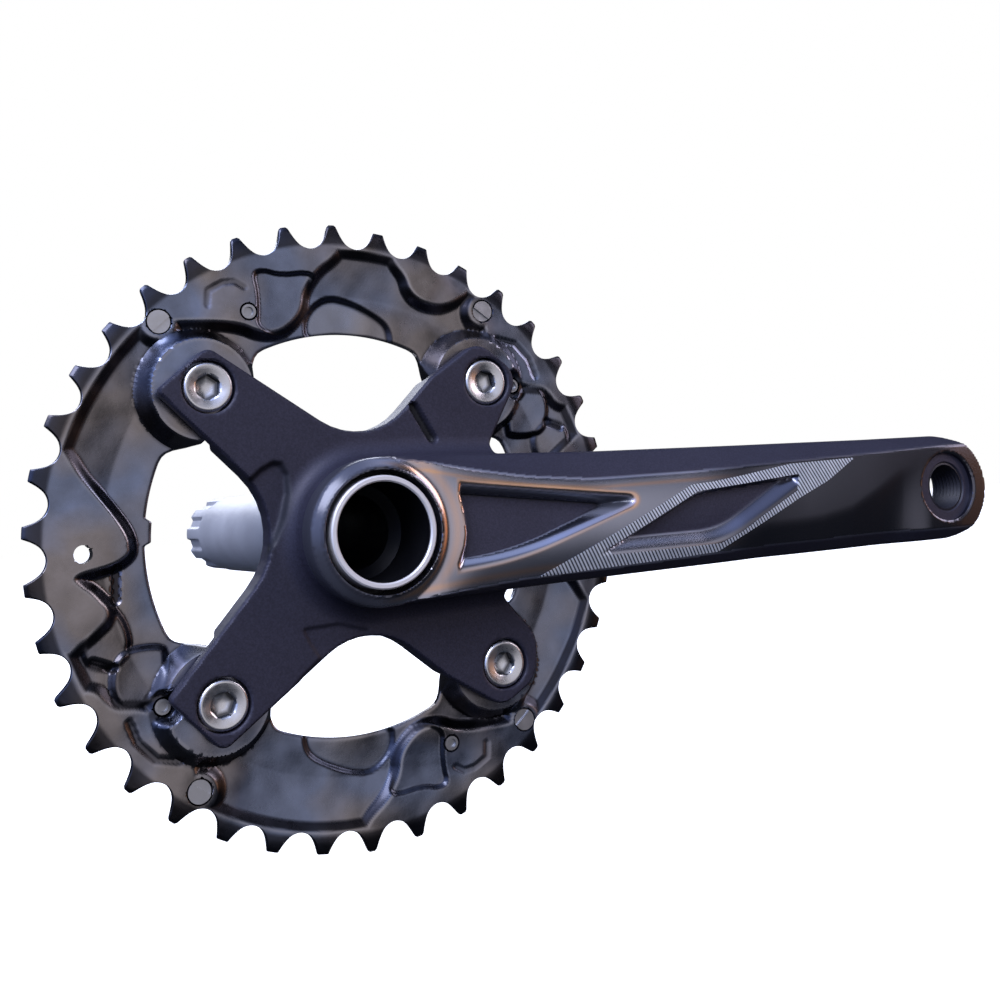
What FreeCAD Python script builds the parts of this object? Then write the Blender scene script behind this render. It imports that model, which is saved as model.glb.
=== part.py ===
import FreeCAD, Part
import math
import os
import Sketcher
from FreeCAD import Placement, Rotation, Vector

# Drive-side half of a bicycle crankset: one forged crank arm with a four-arm spider, a hollow
# spindle pressed into it, one 38-tooth chainring with its shift pins and rivets, and the four
# bolts and nuts that hold the ring. Millimetres, +Z up, +X along the crank arm.
# The spindle lies along Y and the rider's right, the outer side, is -Y. The origin is on the
# spindle axis at the bicycle's middle plane. "Out" below is a distance from that plane towards
# the outer side, so a point that lies 54 out has y = -54.

doc = FreeCAD.newDocument("crankset")
sheet = doc.addObject("Spreadsheet::Sheet", "Dims")

driving_dimensions = {
    # chainring
    "toothCount": 38,
    "chainPitch": 12.7,
    "rollerSeat": 3.95,
    "tallTip": 79.0,
    "shortTip": 78.0,
    "toothThick": 2.0,
    "ringOut": 54.0,
    "ringInner": 50.8,
    "flatOuter": 60.3,
    "dishOuter": 71.0,
    "flatFront": 52.7,
    "flatRear": 50.7,
    "seatFront": 58.2,
    "seatRadius": 12.5,
    "seatInner": 44.0,
    "wireHole": 2.1,
    # ring bolts and nuts
    "boltCircle": 104.0,
    "sleeveRadius": 5.0,
    "threadRadius": 4.0,
    "headRadius": 5.9,
    "headThick": 2.3,
    "boltLength": 8.4,
    "keyWidth": 5.0,
    "flangeRadius": 6.75,
    "flangeThick": 1.6,
    "sleeveLength": 9.2,
    # shift pins and rivets
    "pinCircle": 70.3,
    "pinRadius": 2.75,
    "pinBoss": 3.9,
    "pinRear": 49.6,
    "rivetCircle": 60.9,
    "rivetRadius": 1.8,
    "rivetBoss": 3.0,
    # crank arm and spider
    "crankLength": 175.0,
    "hubRadius": 17.9,
    "hubMouth": 14.9,
    "hubRear": 45.5,
    "hubFront": 76.5,
    "mouthFloor": 66.0,
    "spiderFront": 63.2,
    "spiderRear": 54.6,
    "pedalFace": 91.0,
    "pedalThick": 12.5,
    "pedalEnd": 15.4,
    "pedalThread": 7.14,
    "pedalSink": 10.0,
    "pedalSinkDeep": 1.2,
    # spindle
    "journalRadius": 12.0,
    "headOuter": 13.5,
    "headInner": 12.0,
    "headStep": 58.0,
    "spindleBore": 9.5,
    "spindleFront": 76.3,
    "spindleReach": 67.5,
    "splineLength": 20.0,
    "splineRoot": 10.9,
    "splineCount": 10,
}
for row, (alias, value) in enumerate(driving_dimensions.items(), start=1):
    sheet.set(f"A{row}", alias)
    sheet.set(f"B{row}", str(value))
    sheet.setAlias(f"B{row}", alias)
doc.recompute()


def size(alias):
    return float(getattr(sheet, alias))


def polar(radius, degrees):
    angle = math.radians(degrees)
    return Vector(radius * math.cos(angle), radius * math.sin(angle), 0)


# Sketches

def new_body(name):
    body = doc.addObject("PartDesign::Body", name)
    body.Label = name
    return body


def origin_plane(body, role):
    return next(item for item in body.Origin.OriginFeatures if item.Role == role)


def add_sketch(body, name, edges, out="0", role="XZ_Plane", tilt=0.0):
    # The XZ plane's normal is -Y, so "out" moves the sketch straight outwards.
    sketch = body.newObject("Sketcher::SketchObject", name)
    sketch.AttachmentSupport = (origin_plane(body, role), [""])
    sketch.MapMode = "FlatFace"
    sketch.AttachmentOffset = Placement(Vector(0, 0, 0), Rotation(Vector(0, 1, 0), tilt))
    sketch.setExpression("AttachmentOffset.Base.z", out)
    sketch.addGeometry(edges, False)
    return sketch


def add_circle(sketch, radius, across="0", up="0"):
    # A circle whose radius and centre follow the sheet.
    circle = sketch.addGeometry(Part.Circle(Vector(1, 1, 0), Vector(0, 0, 1), 1.0), False)
    for kind, first, expression in (
        ("Radius", (circle, 1.0), radius),
        ("DistanceX", (-1, 1, circle, 3, 1.0), across),
        ("DistanceY", (-1, 1, circle, 3, 1.0), up),
    ):
        number = sketch.addConstraint(Sketcher.Constraint(kind, *first))
        sketch.setExpression(f"Constraints[{number}]", expression)
    return circle


def polygon(points):
    corners = [Vector(x, y, 0) for x, y in points]
    return [Part.LineSegment(a, b) for a, b in zip(corners, corners[1:] + corners[:1])]


def rounded_outline(points):
    # Straight runs joined by tangent arcs: each point is x, z and the radius of its corner.
    edges = []
    previous_end = None
    first_start = None
    count = len(points)
    for number, (x, z, radius) in enumerate(points):
        corner = Vector(x, z, 0)
        before = Vector(*points[number - 1][:2], 0)
        after = Vector(*points[(number + 1) % count][:2], 0)
        back = (before - corner).normalize()
        ahead = (after - corner).normalize()
        half_angle = back.getAngle(ahead) / 2
        reach = radius / math.tan(half_angle)
        start = corner + back * reach
        end = corner + ahead * reach
        if previous_end is not None and (start - previous_end).Length > 1e-4:
            edges.append(Part.LineSegment(previous_end, start))
        if radius > 0:
            middle_way = (back + ahead).normalize()
            middle = corner + middle_way * (radius / math.sin(half_angle) - radius)
            edges.append(Part.Arc(start, middle, end))
        if first_start is None:
            first_start = start
        previous_end = end
    if (first_start - previous_end).Length > 1e-4:
        edges.append(Part.LineSegment(previous_end, first_start))
    return edges


# Features

def add_pad(body, sketch, length):
    pad = body.newObject("PartDesign::Pad", sketch.Name + "_pad")
    pad.Profile = sketch
    pad.setExpression("Length", length)
    return pad


def add_pocket(body, sketch, length, outwards=False):
    # A pocket cuts inwards from its sketch unless "outwards" is set.
    pocket = body.newObject("PartDesign::Pocket", sketch.Name + "_pocket")
    pocket.Profile = sketch
    pocket.Reversed = outwards
    pocket.setExpression("Length", length)
    return pocket


def add_turned(body, name, points, kind="PartDesign::Revolution"):
    # Turns a profile of radius and out about the spindle axis.
    profile = add_sketch(body, name, polygon([(r, -out) for r, out in points]), role="XY_Plane")
    turned = body.newObject(kind, name + "_turned")
    turned.Profile = profile
    turned.ReferenceAxis = (profile, ["V_Axis"])
    turned.Angle = 360
    return turned


def add_ring_of(body, feature, count):
    pattern = body.newObject("PartDesign::PolarPattern", feature.Name + "_ring")
    pattern.Originals = [feature]
    pattern.Axis = (origin_axis(body, "Y_Axis"), [""])
    pattern.Angle = 360
    pattern.setExpression("Occurrences", count)
    body.Tip = pattern
    return pattern


def origin_axis(body, role):
    return next(item for item in body.Origin.OriginFeatures if item.Role == role)


# The ring bolts stand on a 104 mm circle, half way between the directions of the arm.
bolt_angles = [45, 135, 225, 315]


def bolt_centre(degrees):
    across = f"Dims.boltCircle / 2 * cos({degrees}deg)"
    up = f"Dims.boltCircle / 2 * sin({degrees}deg)"
    return across, up


# Chainring

pitch_radius = size("chainPitch") / (2 * math.sin(math.pi / size("toothCount")))
tooth_angle = 360 / size("toothCount")
pin_angles = [54, 130.6, 234, 310.6]
rivet_angles = [36.6, 113, 216.6, 293]


def tooth_gap():
    # One gap between two teeth: a roller seat of about a third of a turn, flanks that open
    # outwards, and a wider mouth that bevels the tips of the teeth.
    seat = size("rollerSeat")
    flank_start = 35  # degrees
    flank_x = pitch_radius - seat * math.sin(math.radians(flank_start))
    flank_z = seat * math.cos(math.radians(flank_start))
    shoulder = size("tallTip") - 1.1
    mouth = size("tallTip") + 3
    upper = [
        Vector(flank_x, flank_z, 0),
        Vector(pitch_radius - 0.9, seat + 0.2, 0),
        Vector(shoulder, seat + 1.05, 0),
        Vector(mouth, seat + 3.1, 0),
    ]
    lower = [Vector(point.x, -point.y, 0) for point in reversed(upper)]
    edges = [Part.Arc(lower[-1], Vector(pitch_radius - seat, 0, 0), upper[0])]
    corners = upper + lower
    edges += [Part.LineSegment(a, b) for a, b in zip(corners, corners[1:])]
    return edges


def short_tooth_sector(first_tooth, last_tooth):
    # A sector between the short and the tall tips, over a run of teeth.
    inner = size("shortTip")
    outer = size("tallTip") + 2
    low = (first_tooth - 1) * tooth_angle
    high = last_tooth * tooth_angle
    middle = (low + high) / 2
    return [
        Part.Arc(polar(inner, low), polar(inner, middle), polar(inner, high)),
        Part.LineSegment(polar(inner, high), polar(outer, high)),
        Part.Arc(polar(outer, high), polar(outer, middle), polar(outer, low)),
        Part.LineSegment(polar(outer, low), polar(inner, low)),
    ]


def lobe_outline(points):
    # A lobe's corners are given as an angle, a radius from the spindle axis and a corner radius.
    return rounded_outline([(*tuple(polar(r, angle))[:2], corner) for angle, r, corner in points])


def make_chainring():
    body = new_body("large_chainring")
    out = size("ringOut")
    half = size("toothThick") / 2
    add_turned(body, "ring_profile", [
        (size("ringInner"), size("flatRear")),
        (size("flatOuter") + 4, size("flatRear")),
        (size("dishOuter"), out - half),
        (76.0, out - half),
        (size("tallTip"), out - half / 2),
        (size("tallTip"), out + half / 2),
        (76.0, out + half),
        (size("dishOuter") + 1.3, out + half),
        (size("dishOuter"), out + 0.2),
        (size("flatOuter"), size("flatFront")),
        (size("ringInner"), size("flatFront")),
    ])
    gap = add_sketch(body, "tooth_gap", tooth_gap(), "Dims.ringOut + 5")
    add_ring_of(body, add_pocket(body, gap, "10"), "Dims.toothCount")

    # Teeth are shorter where the chain changes over, in runs of seven and of three.
    for name, first, last in (("long_run", -4, 2), ("short_run", 7, 9)):
        run = add_sketch(body, name, short_tooth_sector(first, last), "Dims.ringOut + 5")
        add_ring_of(body, add_pocket(body, run, "10"), "2")

    # Raised seats carry the spider's four tabs.
    seats = add_sketch(body, "seats", [], "Dims.flatRear")
    for degrees in bolt_angles:
        add_circle(seats, "Dims.seatRadius", *bolt_centre(degrees))
    add_pad(body, seats, "Dims.seatFront - Dims.flatRear")
    relief = add_sketch(body, "seat_relief", [], "Dims.seatFront")
    add_circle(relief, "Dims.seatInner")
    add_pocket(body, relief, "20")

    # Lobes level with the toothed band reach in over the dished face.
    lobes = {
        "rivet_lobe": [(91, 71.6, 0), (95, 66, 2), (99, 61, 3), (101, 55.5, 3), (108, 52, 3),
                       (115, 54.5, 2), (120, 61.5, 2), (128, 67.5, 1), (134, 71.6, 0)],
        "wire_lobe": [(161, 71.6, 0), (166, 65.5, 3), (171, 58.5, 4), (177, 54.2, 2),
                      (183.3, 55.6, 1), (184.6, 67, 1), (189, 61.5, 3), (195, 63, 3), (198, 71.6, 0)],
        "seat_lobe": [(200, 71.6, 0), (204, 62, 2), (207, 55, 2), (213, 54.5, 2), (219, 60, 2),
                      (227, 67, 1), (232, 71.6, 0)],
    }
    for name, points in lobes.items():
        lobe = add_sketch(body, name, lobe_outline(points), "Dims.flatRear")
        add_ring_of(body, add_pad(body, lobe, "Dims.ringOut + Dims.toothThick / 2 - Dims.flatRear"), "2")
    scallop = lobe_outline([(58.5, 71.6, 0), (61, 65, 2), (64, 61.8, 4), (70, 61.8, 4),
                            (74, 66, 2), (76.5, 71.6, 0)])
    scallop_sketch = add_sketch(body, "scallop", scallop, "Dims.flatRear")
    add_pad(body, scallop_sketch, "Dims.ringOut + Dims.toothThick / 2 - Dims.flatRear")

    # Bosses round the shift pins and the rivets.
    bosses = add_sketch(body, "pin_bosses", [], "Dims.flatRear")
    for degrees in pin_angles:
        add_circle(bosses, "Dims.pinBoss", f"Dims.pinCircle * cos({degrees}deg)",
                   f"Dims.pinCircle * sin({degrees}deg)")
    add_pad(body, bosses, "Dims.ringOut + Dims.toothThick / 2 - Dims.flatRear")
    rivet_bosses = add_sketch(body, "rivet_bosses", [], "Dims.flatRear")
    for degrees in rivet_angles:
        add_circle(rivet_bosses, "Dims.rivetBoss", f"Dims.rivetCircle * cos({degrees}deg)",
                   f"Dims.rivetCircle * sin({degrees}deg)")
    add_pad(body, rivet_bosses, "Dims.ringOut + Dims.toothThick / 2 - Dims.flatRear")

    # An index tab stands in from the inner edge, opposite the arm.
    tab = add_sketch(body, "index_tab", lobe_outline([
        (172.5, 51.6, 0), (173.8, 49.4, 0.6), (176.6, 49.2, 0.8), (178.8, 51.6, 0)]), "Dims.flatRear")
    add_pad(body, tab, "Dims.flatFront - Dims.flatRear")

    holes = add_sketch(body, "holes", [], "Dims.seatFront + 1")
    for degrees in bolt_angles:
        add_circle(holes, "Dims.sleeveRadius", *bolt_centre(degrees))
    for degrees in pin_angles:
        add_circle(holes, "Dims.pinRadius", f"Dims.pinCircle * cos({degrees}deg)",
                   f"Dims.pinCircle * sin({degrees}deg)")
    for degrees in rivet_angles:
        add_circle(holes, "Dims.rivetRadius", f"Dims.rivetCircle * cos({degrees}deg)",
                   f"Dims.rivetCircle * sin({degrees}deg)")
    for degrees in (0, 180):
        add_circle(holes, "Dims.wireHole", f"65 * cos({degrees}deg)", "0")
    add_pocket(body, holes, "20")
    return body


# Crank arm

def spider_outline():
    # Four arms with concave sides. The left tabs end in a point, the right ones are rounded,
    # and the right side closes under the crank arm.
    return rounded_outline([
        (-48.9, 36.1, 1.5), (-36.7, 46.3, 3), (2.3, 19.8, 17.7), (20.5, 38.0, 10),
        (35.0, 47.6, 6), (47.0, 38.4, 6), (36.4, 20.3, 2), (36.4, 12, 0),
        (36.4, -12, 0), (36.4, -20.3, 2), (46.8, -30.5, 7), (45.8, -41.5, 7),
        (35.5, -47.6, 6), (20.5, -38.0, 10), (0.2, -20.7, 17.2), (-37.5, -47.4, 3),
        (-49.2, -34.2, 1.5), (-16.3, 2.4, 19.7),
    ])


def arm_section(top, bottom, ridge_top, ridge_bottom, front, rear):
    # One cross-section of the arm, as up and out: bevels fall from the flat front to the sides.
    return [
        (top - 2.5, rear), (top, rear + 3), (top, front - 5.0), (ridge_top, front),
        (ridge_bottom, front), (bottom, front - 3.0), (bottom, rear + 3), (bottom + 2.5, rear),
    ]


# Distance along the arm, then top, bottom, upper ridge, lower ridge, front face and rear face.
arm_stations = [
    (12, 18.2, -17.6, 14.9, -15.2, 75.0, 60.0),
    (60, 16.7, -16.6, 9.6, -14.2, 78.0, 63.5),
    (110, 16.0, -15.8, 10.2, -12.4, 82.8, 68.5),
    (150, 15.5, -15.5, 11.4, -11.6, 88.0, 75.0),
    (175, 15.4, -15.4, 12.4, -12.4, 91.0, 78.5),
]


def make_crank_arm():
    body = new_body("crank_arm")
    add_turned(body, "hub_profile", [
        (0, size("hubRear")),
        (size("hubRadius") - 1.5, size("hubRear")),
        (size("hubRadius"), size("hubRear") + 1.5),
        (size("hubRadius"), size("hubFront") - 2.5),
        (size("hubMouth") + 0.2, size("hubFront")),
        (0, size("hubFront")),
    ])
    spider = add_sketch(body, "spider", spider_outline(), "Dims.spiderRear")
    add_pad(body, spider, "Dims.spiderFront - Dims.spiderRear")
    tabs = add_sketch(body, "tab_relief", [], "Dims.seatFront")
    add_circle(tabs, "Dims.seatInner - 1")
    add_circle(tabs, "Dims.ringInner + 20")
    add_pocket(body, tabs, "Dims.seatFront - Dims.spiderRear + 1")

    sections = []
    for number, (along, *shape) in enumerate(arm_stations):
        outline = polygon([(-out, up) for up, out in arm_section(*shape)])
        section = add_sketch(body, f"arm_section_{number}", outline, str(along), role="YZ_Plane")
        sections.append(section)
    arm = body.newObject("PartDesign::AdditiveLoft", "arm_loft")
    arm.Profile = sections[0]
    arm.Sections = sections[1:]
    arm.Ruled = True

    end = add_sketch(body, "pedal_end", [], "Dims.pedalFace")
    add_circle(end, "Dims.pedalEnd", "Dims.crankLength")
    end_pad = add_pad(body, end, "Dims.pedalThick")
    end_pad.Reversed = True

    # A matte triangle is sunk beside the hub, and a long diamond half way along the arm.
    triangle = add_sketch(body, "triangle", rounded_outline([
        (21.0, 11.0, 0.8), (19.8, 0, 12), (18.8, -10.3, 1.0), (34, -9.6, 12), (66.5, 3.0, 1.2)]),
        "Dims.hubFront + 10")
    add_pocket(body, triangle, "Dims.hubFront + 10 - 72.5")
    # The diamond's plane leans with the front of the arm.
    lean = math.degrees(math.atan2(82.8 - 78.0, 110 - 60))
    diamond = add_sketch(body, "diamond", rounded_outline([
        (61, -9, 0.8), (86, 2.4, 6), (115, 6.0, 1.5), (117.5, 4.2, 1.2), (97, -9.2, 6)]),
        "71.35", tilt=-lean)
    add_pocket(body, diamond, "10", outwards=True)

    # Grooves pressed into the spider's face.
    groove_depth = "0.8"
    for name, points in (
        ("groove_left", [(-29.5, 14, 0.5), (-22.5, 19.8, 2), (-18.6, 18, 2), (-21.5, 2, 0.5),
                         (-23.2, 2, 0.5), (-21.4, 14, 1.5), (-23.3, 17.2, 1), (-29, 12.6, 0.4)]),
        ("groove_right", [(14.2, 30.8, 0.6), (15.9, 31.8, 0.6), (20.6, 24.2, 0.6), (18.8, 23.2, 0.6)]),
        ("groove_low", [(-17.8, -22.4, 0.4), (-16.6, -22.2, 0.4), (-11.6, -29.2, 0.4),
                        (-12.8, -29.6, 0.4)]),
    ):
        groove = add_sketch(body, name, rounded_outline(points), "Dims.spiderFront")
        add_pocket(body, groove, groove_depth)

    holes = add_sketch(body, "sleeve_holes", [], "Dims.spiderFront + 1")
    sinks = add_sketch(body, "head_sinks", [], "Dims.spiderFront + 1")
    for degrees in bolt_angles:
        add_circle(holes, "Dims.sleeveRadius", *bolt_centre(degrees))
        add_circle(sinks, "Dims.headRadius + 0.45", *bolt_centre(degrees))
    add_pocket(body, holes, "20")
    add_pocket(body, sinks, "1 + 0.5 + Dims.headThick")

    eye = add_sketch(body, "pedal_hole", [], "Dims.pedalFace + 1")
    add_circle(eye, "Dims.pedalThread", "Dims.crankLength")
    add_pocket(body, eye, "30")
    eye_sink = add_sketch(body, "pedal_sink", [], "Dims.pedalFace + 1")
    add_circle(eye_sink, "Dims.pedalSink", "Dims.crankLength")
    add_pocket(body, eye_sink, "1 + Dims.pedalSinkDeep")

    add_turned(body, "hub_bore", [
        (0, size("hubRear") - 1),
        (size("headOuter"), size("hubRear") - 1),
        (size("headOuter"), size("mouthFloor")),
        (size("hubMouth"), size("mouthFloor")),
        (size("hubMouth"), size("hubFront") + 1),
        (0, size("hubFront") + 1),
    ], kind="PartDesign::Groove")
    return body


# Spindle

def make_spindle():
    # A hollow steel axle: a wide thin-walled head in the hub, a 24 mm journal for the bearings
    # and coarse splines at the far end for the other arm.
    body = new_body("spindle")
    far_end = -size("spindleReach")
    journal = size("journalRadius")
    add_turned(body, "axle_profile", [
        (size("spindleBore"), far_end + 0.8),
        (size("spindleBore") + 0.6, far_end),
        (journal - 1.0, far_end),
        (journal - 0.2, far_end + 0.8),
        (journal - 0.2, far_end + size("splineLength")),
        (journal, far_end + size("splineLength") + 0.2),
        (journal, size("hubRear")),
        (size("headOuter"), size("hubRear")),
        (size("headOuter"), size("spindleFront") - 0.4),
        (size("headOuter") - 0.4, size("spindleFront")),
        (size("headInner") + 0.4, size("spindleFront")),
        (size("headInner"), size("spindleFront") - 0.4),
        (size("headInner"), size("headStep")),
        (size("spindleBore"), size("headStep") - 2.5),
    ])
    root = size("splineRoot")
    gap = add_sketch(body, "spline_gap", polygon([
        (root, -1.5), (journal + 1, -2.4), (journal + 1, 2.4), (root, 1.5)]), "-Dims.spindleReach")
    cut = add_pocket(body, gap, "Dims.splineLength - 3", outwards=True)
    add_ring_of(body, cut, "Dims.splineCount")
    return body


# Bolts, nuts, pins and rivets, each built about its own axis and then placed

def place_on_ring(item, radius, degrees, out):
    centre = polar(radius, degrees)
    item.Placement = Placement(Vector(centre.x, -out, centre.y), Rotation(Vector(0, 1, 0), -degrees))


def make_ring_bolt(number, degrees):
    # Dished head, M8 shank and a hexagon key hole right through. Zero is the head's seat.
    body = new_body(f"chainring_bolt_{number}")
    head = size("headRadius")
    thick = size("headThick")
    length = size("boltLength")
    key = size("keyWidth") / 2
    add_turned(body, "bolt_profile", [
        (0, -length), (size("threadRadius") - 0.6, -length), (size("threadRadius"), -length + 0.6),
        (size("threadRadius"), 0), (head, 0), (head, thick - 0.7), (head - 0.7, thick - 0.15),
        (head - 1.3, thick), (key + 1.1, thick - 0.35), (key + 0.5, thick - 1.0), (0, thick - 1.0),
    ])
    corner = key / math.cos(math.radians(30))
    hexagon = [tuple(polar(corner, 60 * side))[:2] for side in range(6)]
    socket = add_sketch(body, "key_hole", polygon(hexagon), "Dims.headThick")
    add_pocket(body, socket, "Dims.headThick + Dims.boltLength + 1")
    place_on_ring(body, size("boltCircle") / 2, degrees, size("spiderFront") - 0.5 - thick)
    return body


def make_ring_nut(number, degrees):
    # Flanged sleeve with a slot across the flange for a peg key. Zero is the ring's rear face.
    body = new_body(f"chainring_nut_{number}")
    flange = size("flangeRadius")
    thick = size("flangeThick")
    thread = size("threadRadius")
    sleeve = size("sleeveRadius")
    length = size("sleeveLength")
    add_turned(body, "nut_profile", [
        (thread, -thick), (flange - 0.4, -thick), (flange, -thick + 0.4), (flange, 0),
        (sleeve, 0), (sleeve, length), (thread, length),
    ])
    slot = add_sketch(body, "key_slot", polygon([(-8, -1), (8, -1), (8, 1), (-8, 1)]),
                      "-Dims.flangeThick")
    add_pocket(body, slot, "0.8", outwards=True)
    place_on_ring(body, size("boltCircle") / 2, degrees, size("flatRear"))
    return body


def make_shift_pin(number, degrees):
    # Steel pin through the band. Half of its outer end is cut back to leave a half-moon step.
    body = new_body(f"shift_pin_{number}")
    round_end = add_sketch(body, "pin_circle", [], "0")
    add_circle(round_end, "Dims.pinRadius")
    add_pad(body, round_end, "Dims.ringOut + Dims.toothThick / 2 - Dims.pinRear")
    half = add_sketch(body, "half_moon", polygon([(-4, -4), (-0.7, -4), (-0.7, 4), (-4, 4)]),
                      "Dims.ringOut + Dims.toothThick / 2 - Dims.pinRear")
    add_pocket(body, half, "0.5")
    place_on_ring(body, size("pinCircle"), degrees, size("pinRear"))
    return body


def make_ring_rivet(number, degrees):
    # Short rivet through a lobe, with a dimple in its outer end.
    name = f"ring_rivet_{number}"
    shank = doc.addObject("Part::Cylinder", name + "_shank")
    shank.setExpression("Radius", "Dims.rivetRadius")
    shank.setExpression("Height", "Dims.ringOut + Dims.toothThick / 2 - Dims.flatRear + 0.6")
    dimple = doc.addObject("Part::Cylinder", name + "_dimple")
    dimple.setExpression("Radius", "Dims.rivetRadius - 0.6")
    dimple.Height = 2
    dimple.setExpression("Placement.Base.z", "Dims.ringOut + Dims.toothThick / 2 - Dims.flatRear - 0.1")
    rivet = doc.addObject("Part::Cut", name)
    rivet.Base = shank
    rivet.Tool = dimple
    rivet.Label = name
    centre = polar(size("rivetCircle"), degrees)
    start = Vector(centre.x, -size("flatRear") + 0.6, centre.y)
    rivet.Placement = Placement(start, Rotation(Vector(1, 0, 0), 90))
    return rivet


parts = [make_crank_arm(), make_spindle(), make_chainring()]
for number, degrees in enumerate(bolt_angles, start=1):
    parts.append(make_ring_bolt(number, degrees))
    parts.append(make_ring_nut(number, degrees))
for number, degrees in enumerate(pin_angles, start=1):
    parts.append(make_shift_pin(number, degrees))
for number, degrees in enumerate(rivet_angles, start=1):
    parts.append(make_ring_rivet(number, degrees))

doc.recompute()
for item in doc.Objects:
    if "Invalid" in item.State or "Error" in item.State:
        raise RuntimeError(f"{item.Name} failed: {item.State}")
for part in parts:
    if part.Shape.isNull() or not part.Shape.isValid() or len(part.Shape.Solids) != 1:
        raise RuntimeError(f"{part.Label} isn't one valid solid")

os.makedirs("parts", exist_ok=True)
for part in parts:
    part.Shape.exportStep(f"parts/{part.Label}.step")
    print(f"{part.Label}: {part.Shape.Volume / 1000:.2f} cm3")
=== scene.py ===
import math

import bpy
import numpy as np
from mathutils import Matrix, Vector


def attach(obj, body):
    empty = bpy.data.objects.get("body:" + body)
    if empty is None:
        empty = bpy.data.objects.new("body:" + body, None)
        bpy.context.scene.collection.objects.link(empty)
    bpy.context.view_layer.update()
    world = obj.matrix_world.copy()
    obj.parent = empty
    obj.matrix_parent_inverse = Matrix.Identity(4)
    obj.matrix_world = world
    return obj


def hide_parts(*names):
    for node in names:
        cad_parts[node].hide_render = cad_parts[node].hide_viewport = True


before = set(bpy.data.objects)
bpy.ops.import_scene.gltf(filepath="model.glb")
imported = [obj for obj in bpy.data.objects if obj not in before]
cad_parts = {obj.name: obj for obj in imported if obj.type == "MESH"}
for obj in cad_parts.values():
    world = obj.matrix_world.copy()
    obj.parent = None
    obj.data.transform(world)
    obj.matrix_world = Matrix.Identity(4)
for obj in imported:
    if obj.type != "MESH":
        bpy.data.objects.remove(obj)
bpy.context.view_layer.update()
print("frame loaded:", len(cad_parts), "nodes")

# Drive side of a bicycle crankset. Shapes are worked out in millimetres as x along the arm,
# z up and "out" towards the outer side, which is -y, and are turned to metres at the end.

bpy.context.scene.view_settings.view_transform = "Standard"


# Helpers for shapes. onRing turns a radius and an angle from the arm into x and z.
def onRing(radius, degrees):
    angle = np.radians(degrees)
    return radius * np.cos(angle), radius * np.sin(angle)


def awayFrom(circle, angles, x, z):
    # Distance to the nearest of some centres that stand on a circle round the axis.
    return np.min([np.hypot(x - cx, z - cz) for cx, cz in (onRing(circle, a) for a in angles)], axis=0)


def smoothStep(low, high, value):
    # 0 below low, 1 above high and an S-shaped rise between them.
    t = np.clip((value - low) / (high - low), 0, 1)
    return t * t * (3 - 2 * t)


def softMin(a, b, width):
    # The lower of two heights, rounded over where they cross.
    h = np.clip(0.5 + 0.5 * (b - a) / width, 0, 1)
    return b + (a - b) * h - width * h * (1 - h)


def softMax(a, b, width):
    # The higher of two heights, filled in where they cross.
    return -softMin(-a, -b, width)


def pathDistance(path, x, z):
    # Distance to the nearest point of an open line.
    nearest = np.full(np.shape(x), 1e9)
    for (ax, az), (bx, bz) in zip(path, path[1:]):
        ex, ez = bx - ax, bz - az
        t = np.clip(((x - ax) * ex + (z - az) * ez) / (ex * ex + ez * ez), 0, 1)
        nearest = np.minimum(nearest, np.hypot(x - ax - t * ex, z - az - t * ez))
    return nearest


def roundOutline(corners, steps=7):
    # Corners (x, z, radius) become a closed line of points with tangent arcs at each corner.
    points = []
    count = len(corners)
    for number, (x, z, radius) in enumerate(corners):
        corner = np.array([x, z], float)
        if radius <= 0:
            points.append(corner)
            continue
        back = np.array(corners[number - 1][:2], float) - corner
        ahead = np.array(corners[(number + 1) % count][:2], float) - corner
        back /= np.linalg.norm(back)
        ahead /= np.linalg.norm(ahead)
        half = math.acos(np.clip(back @ ahead, -1, 1)) / 2
        bisector = (back + ahead) / np.linalg.norm(back + ahead)
        centre = corner + bisector * radius / math.sin(half)
        start = corner + back * radius / math.tan(half) - centre
        end = corner + ahead * radius / math.tan(half) - centre
        first = math.atan2(start[1], start[0])
        turn = (math.atan2(end[1], end[0]) - first + math.pi) % (2 * math.pi) - math.pi
        for share in np.linspace(0, 1, steps):
            angle = first + turn * share
            points.append(centre + radius * np.array([math.cos(angle), math.sin(angle)]))
    return np.array(points)


def outlineDistance(outline, x, z):
    # Distance to a closed line, negative inside: the nearest of its edges, with the sign from
    # how often a ray from the point crosses it.
    outline = np.asarray(outline, float)
    nearest = np.full(np.shape(x), 1e9)
    inside = np.zeros(np.shape(x), bool)
    for (ax, az), (bx, bz) in zip(outline, np.roll(outline, -1, axis=0)):
        ex, ez = bx - ax, bz - az
        length = ex * ex + ez * ez
        if length < 1e-12:
            continue
        t = np.clip(((x - ax) * ex + (z - az) * ez) / length, 0, 1)
        nearest = np.minimum(nearest, (x - ax - t * ex) ** 2 + (z - az - t * ez) ** 2)
        if abs(ez) > 1e-12:
            crosses = (az > z) != (bz > z)
            inside ^= crosses & (x < ax + (z - az) * ex / ez)
    return np.where(inside, -1, 1) * np.sqrt(nearest)


def lineSide(ax, az, bx, bz, x, z):
    # Distance to the left of the line from a to b.
    length = math.hypot(bx - ax, bz - az)
    return ((bx - ax) * (z - az) - (bz - az) * (x - ax)) / length


def edgeRound(depth, radius):
    # How far a face falls within "radius" of its outline, as a quarter circle.
    d = np.clip(depth, 0, radius)
    return radius - np.sqrt(np.maximum(radius ** 2 - (radius - d) ** 2, 0))


def mergeLines(*runs):
    # Grid lines: each run is (start, end, step).
    return np.unique(np.round(np.concatenate([np.arange(*run) for run in runs]), 4))


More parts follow.
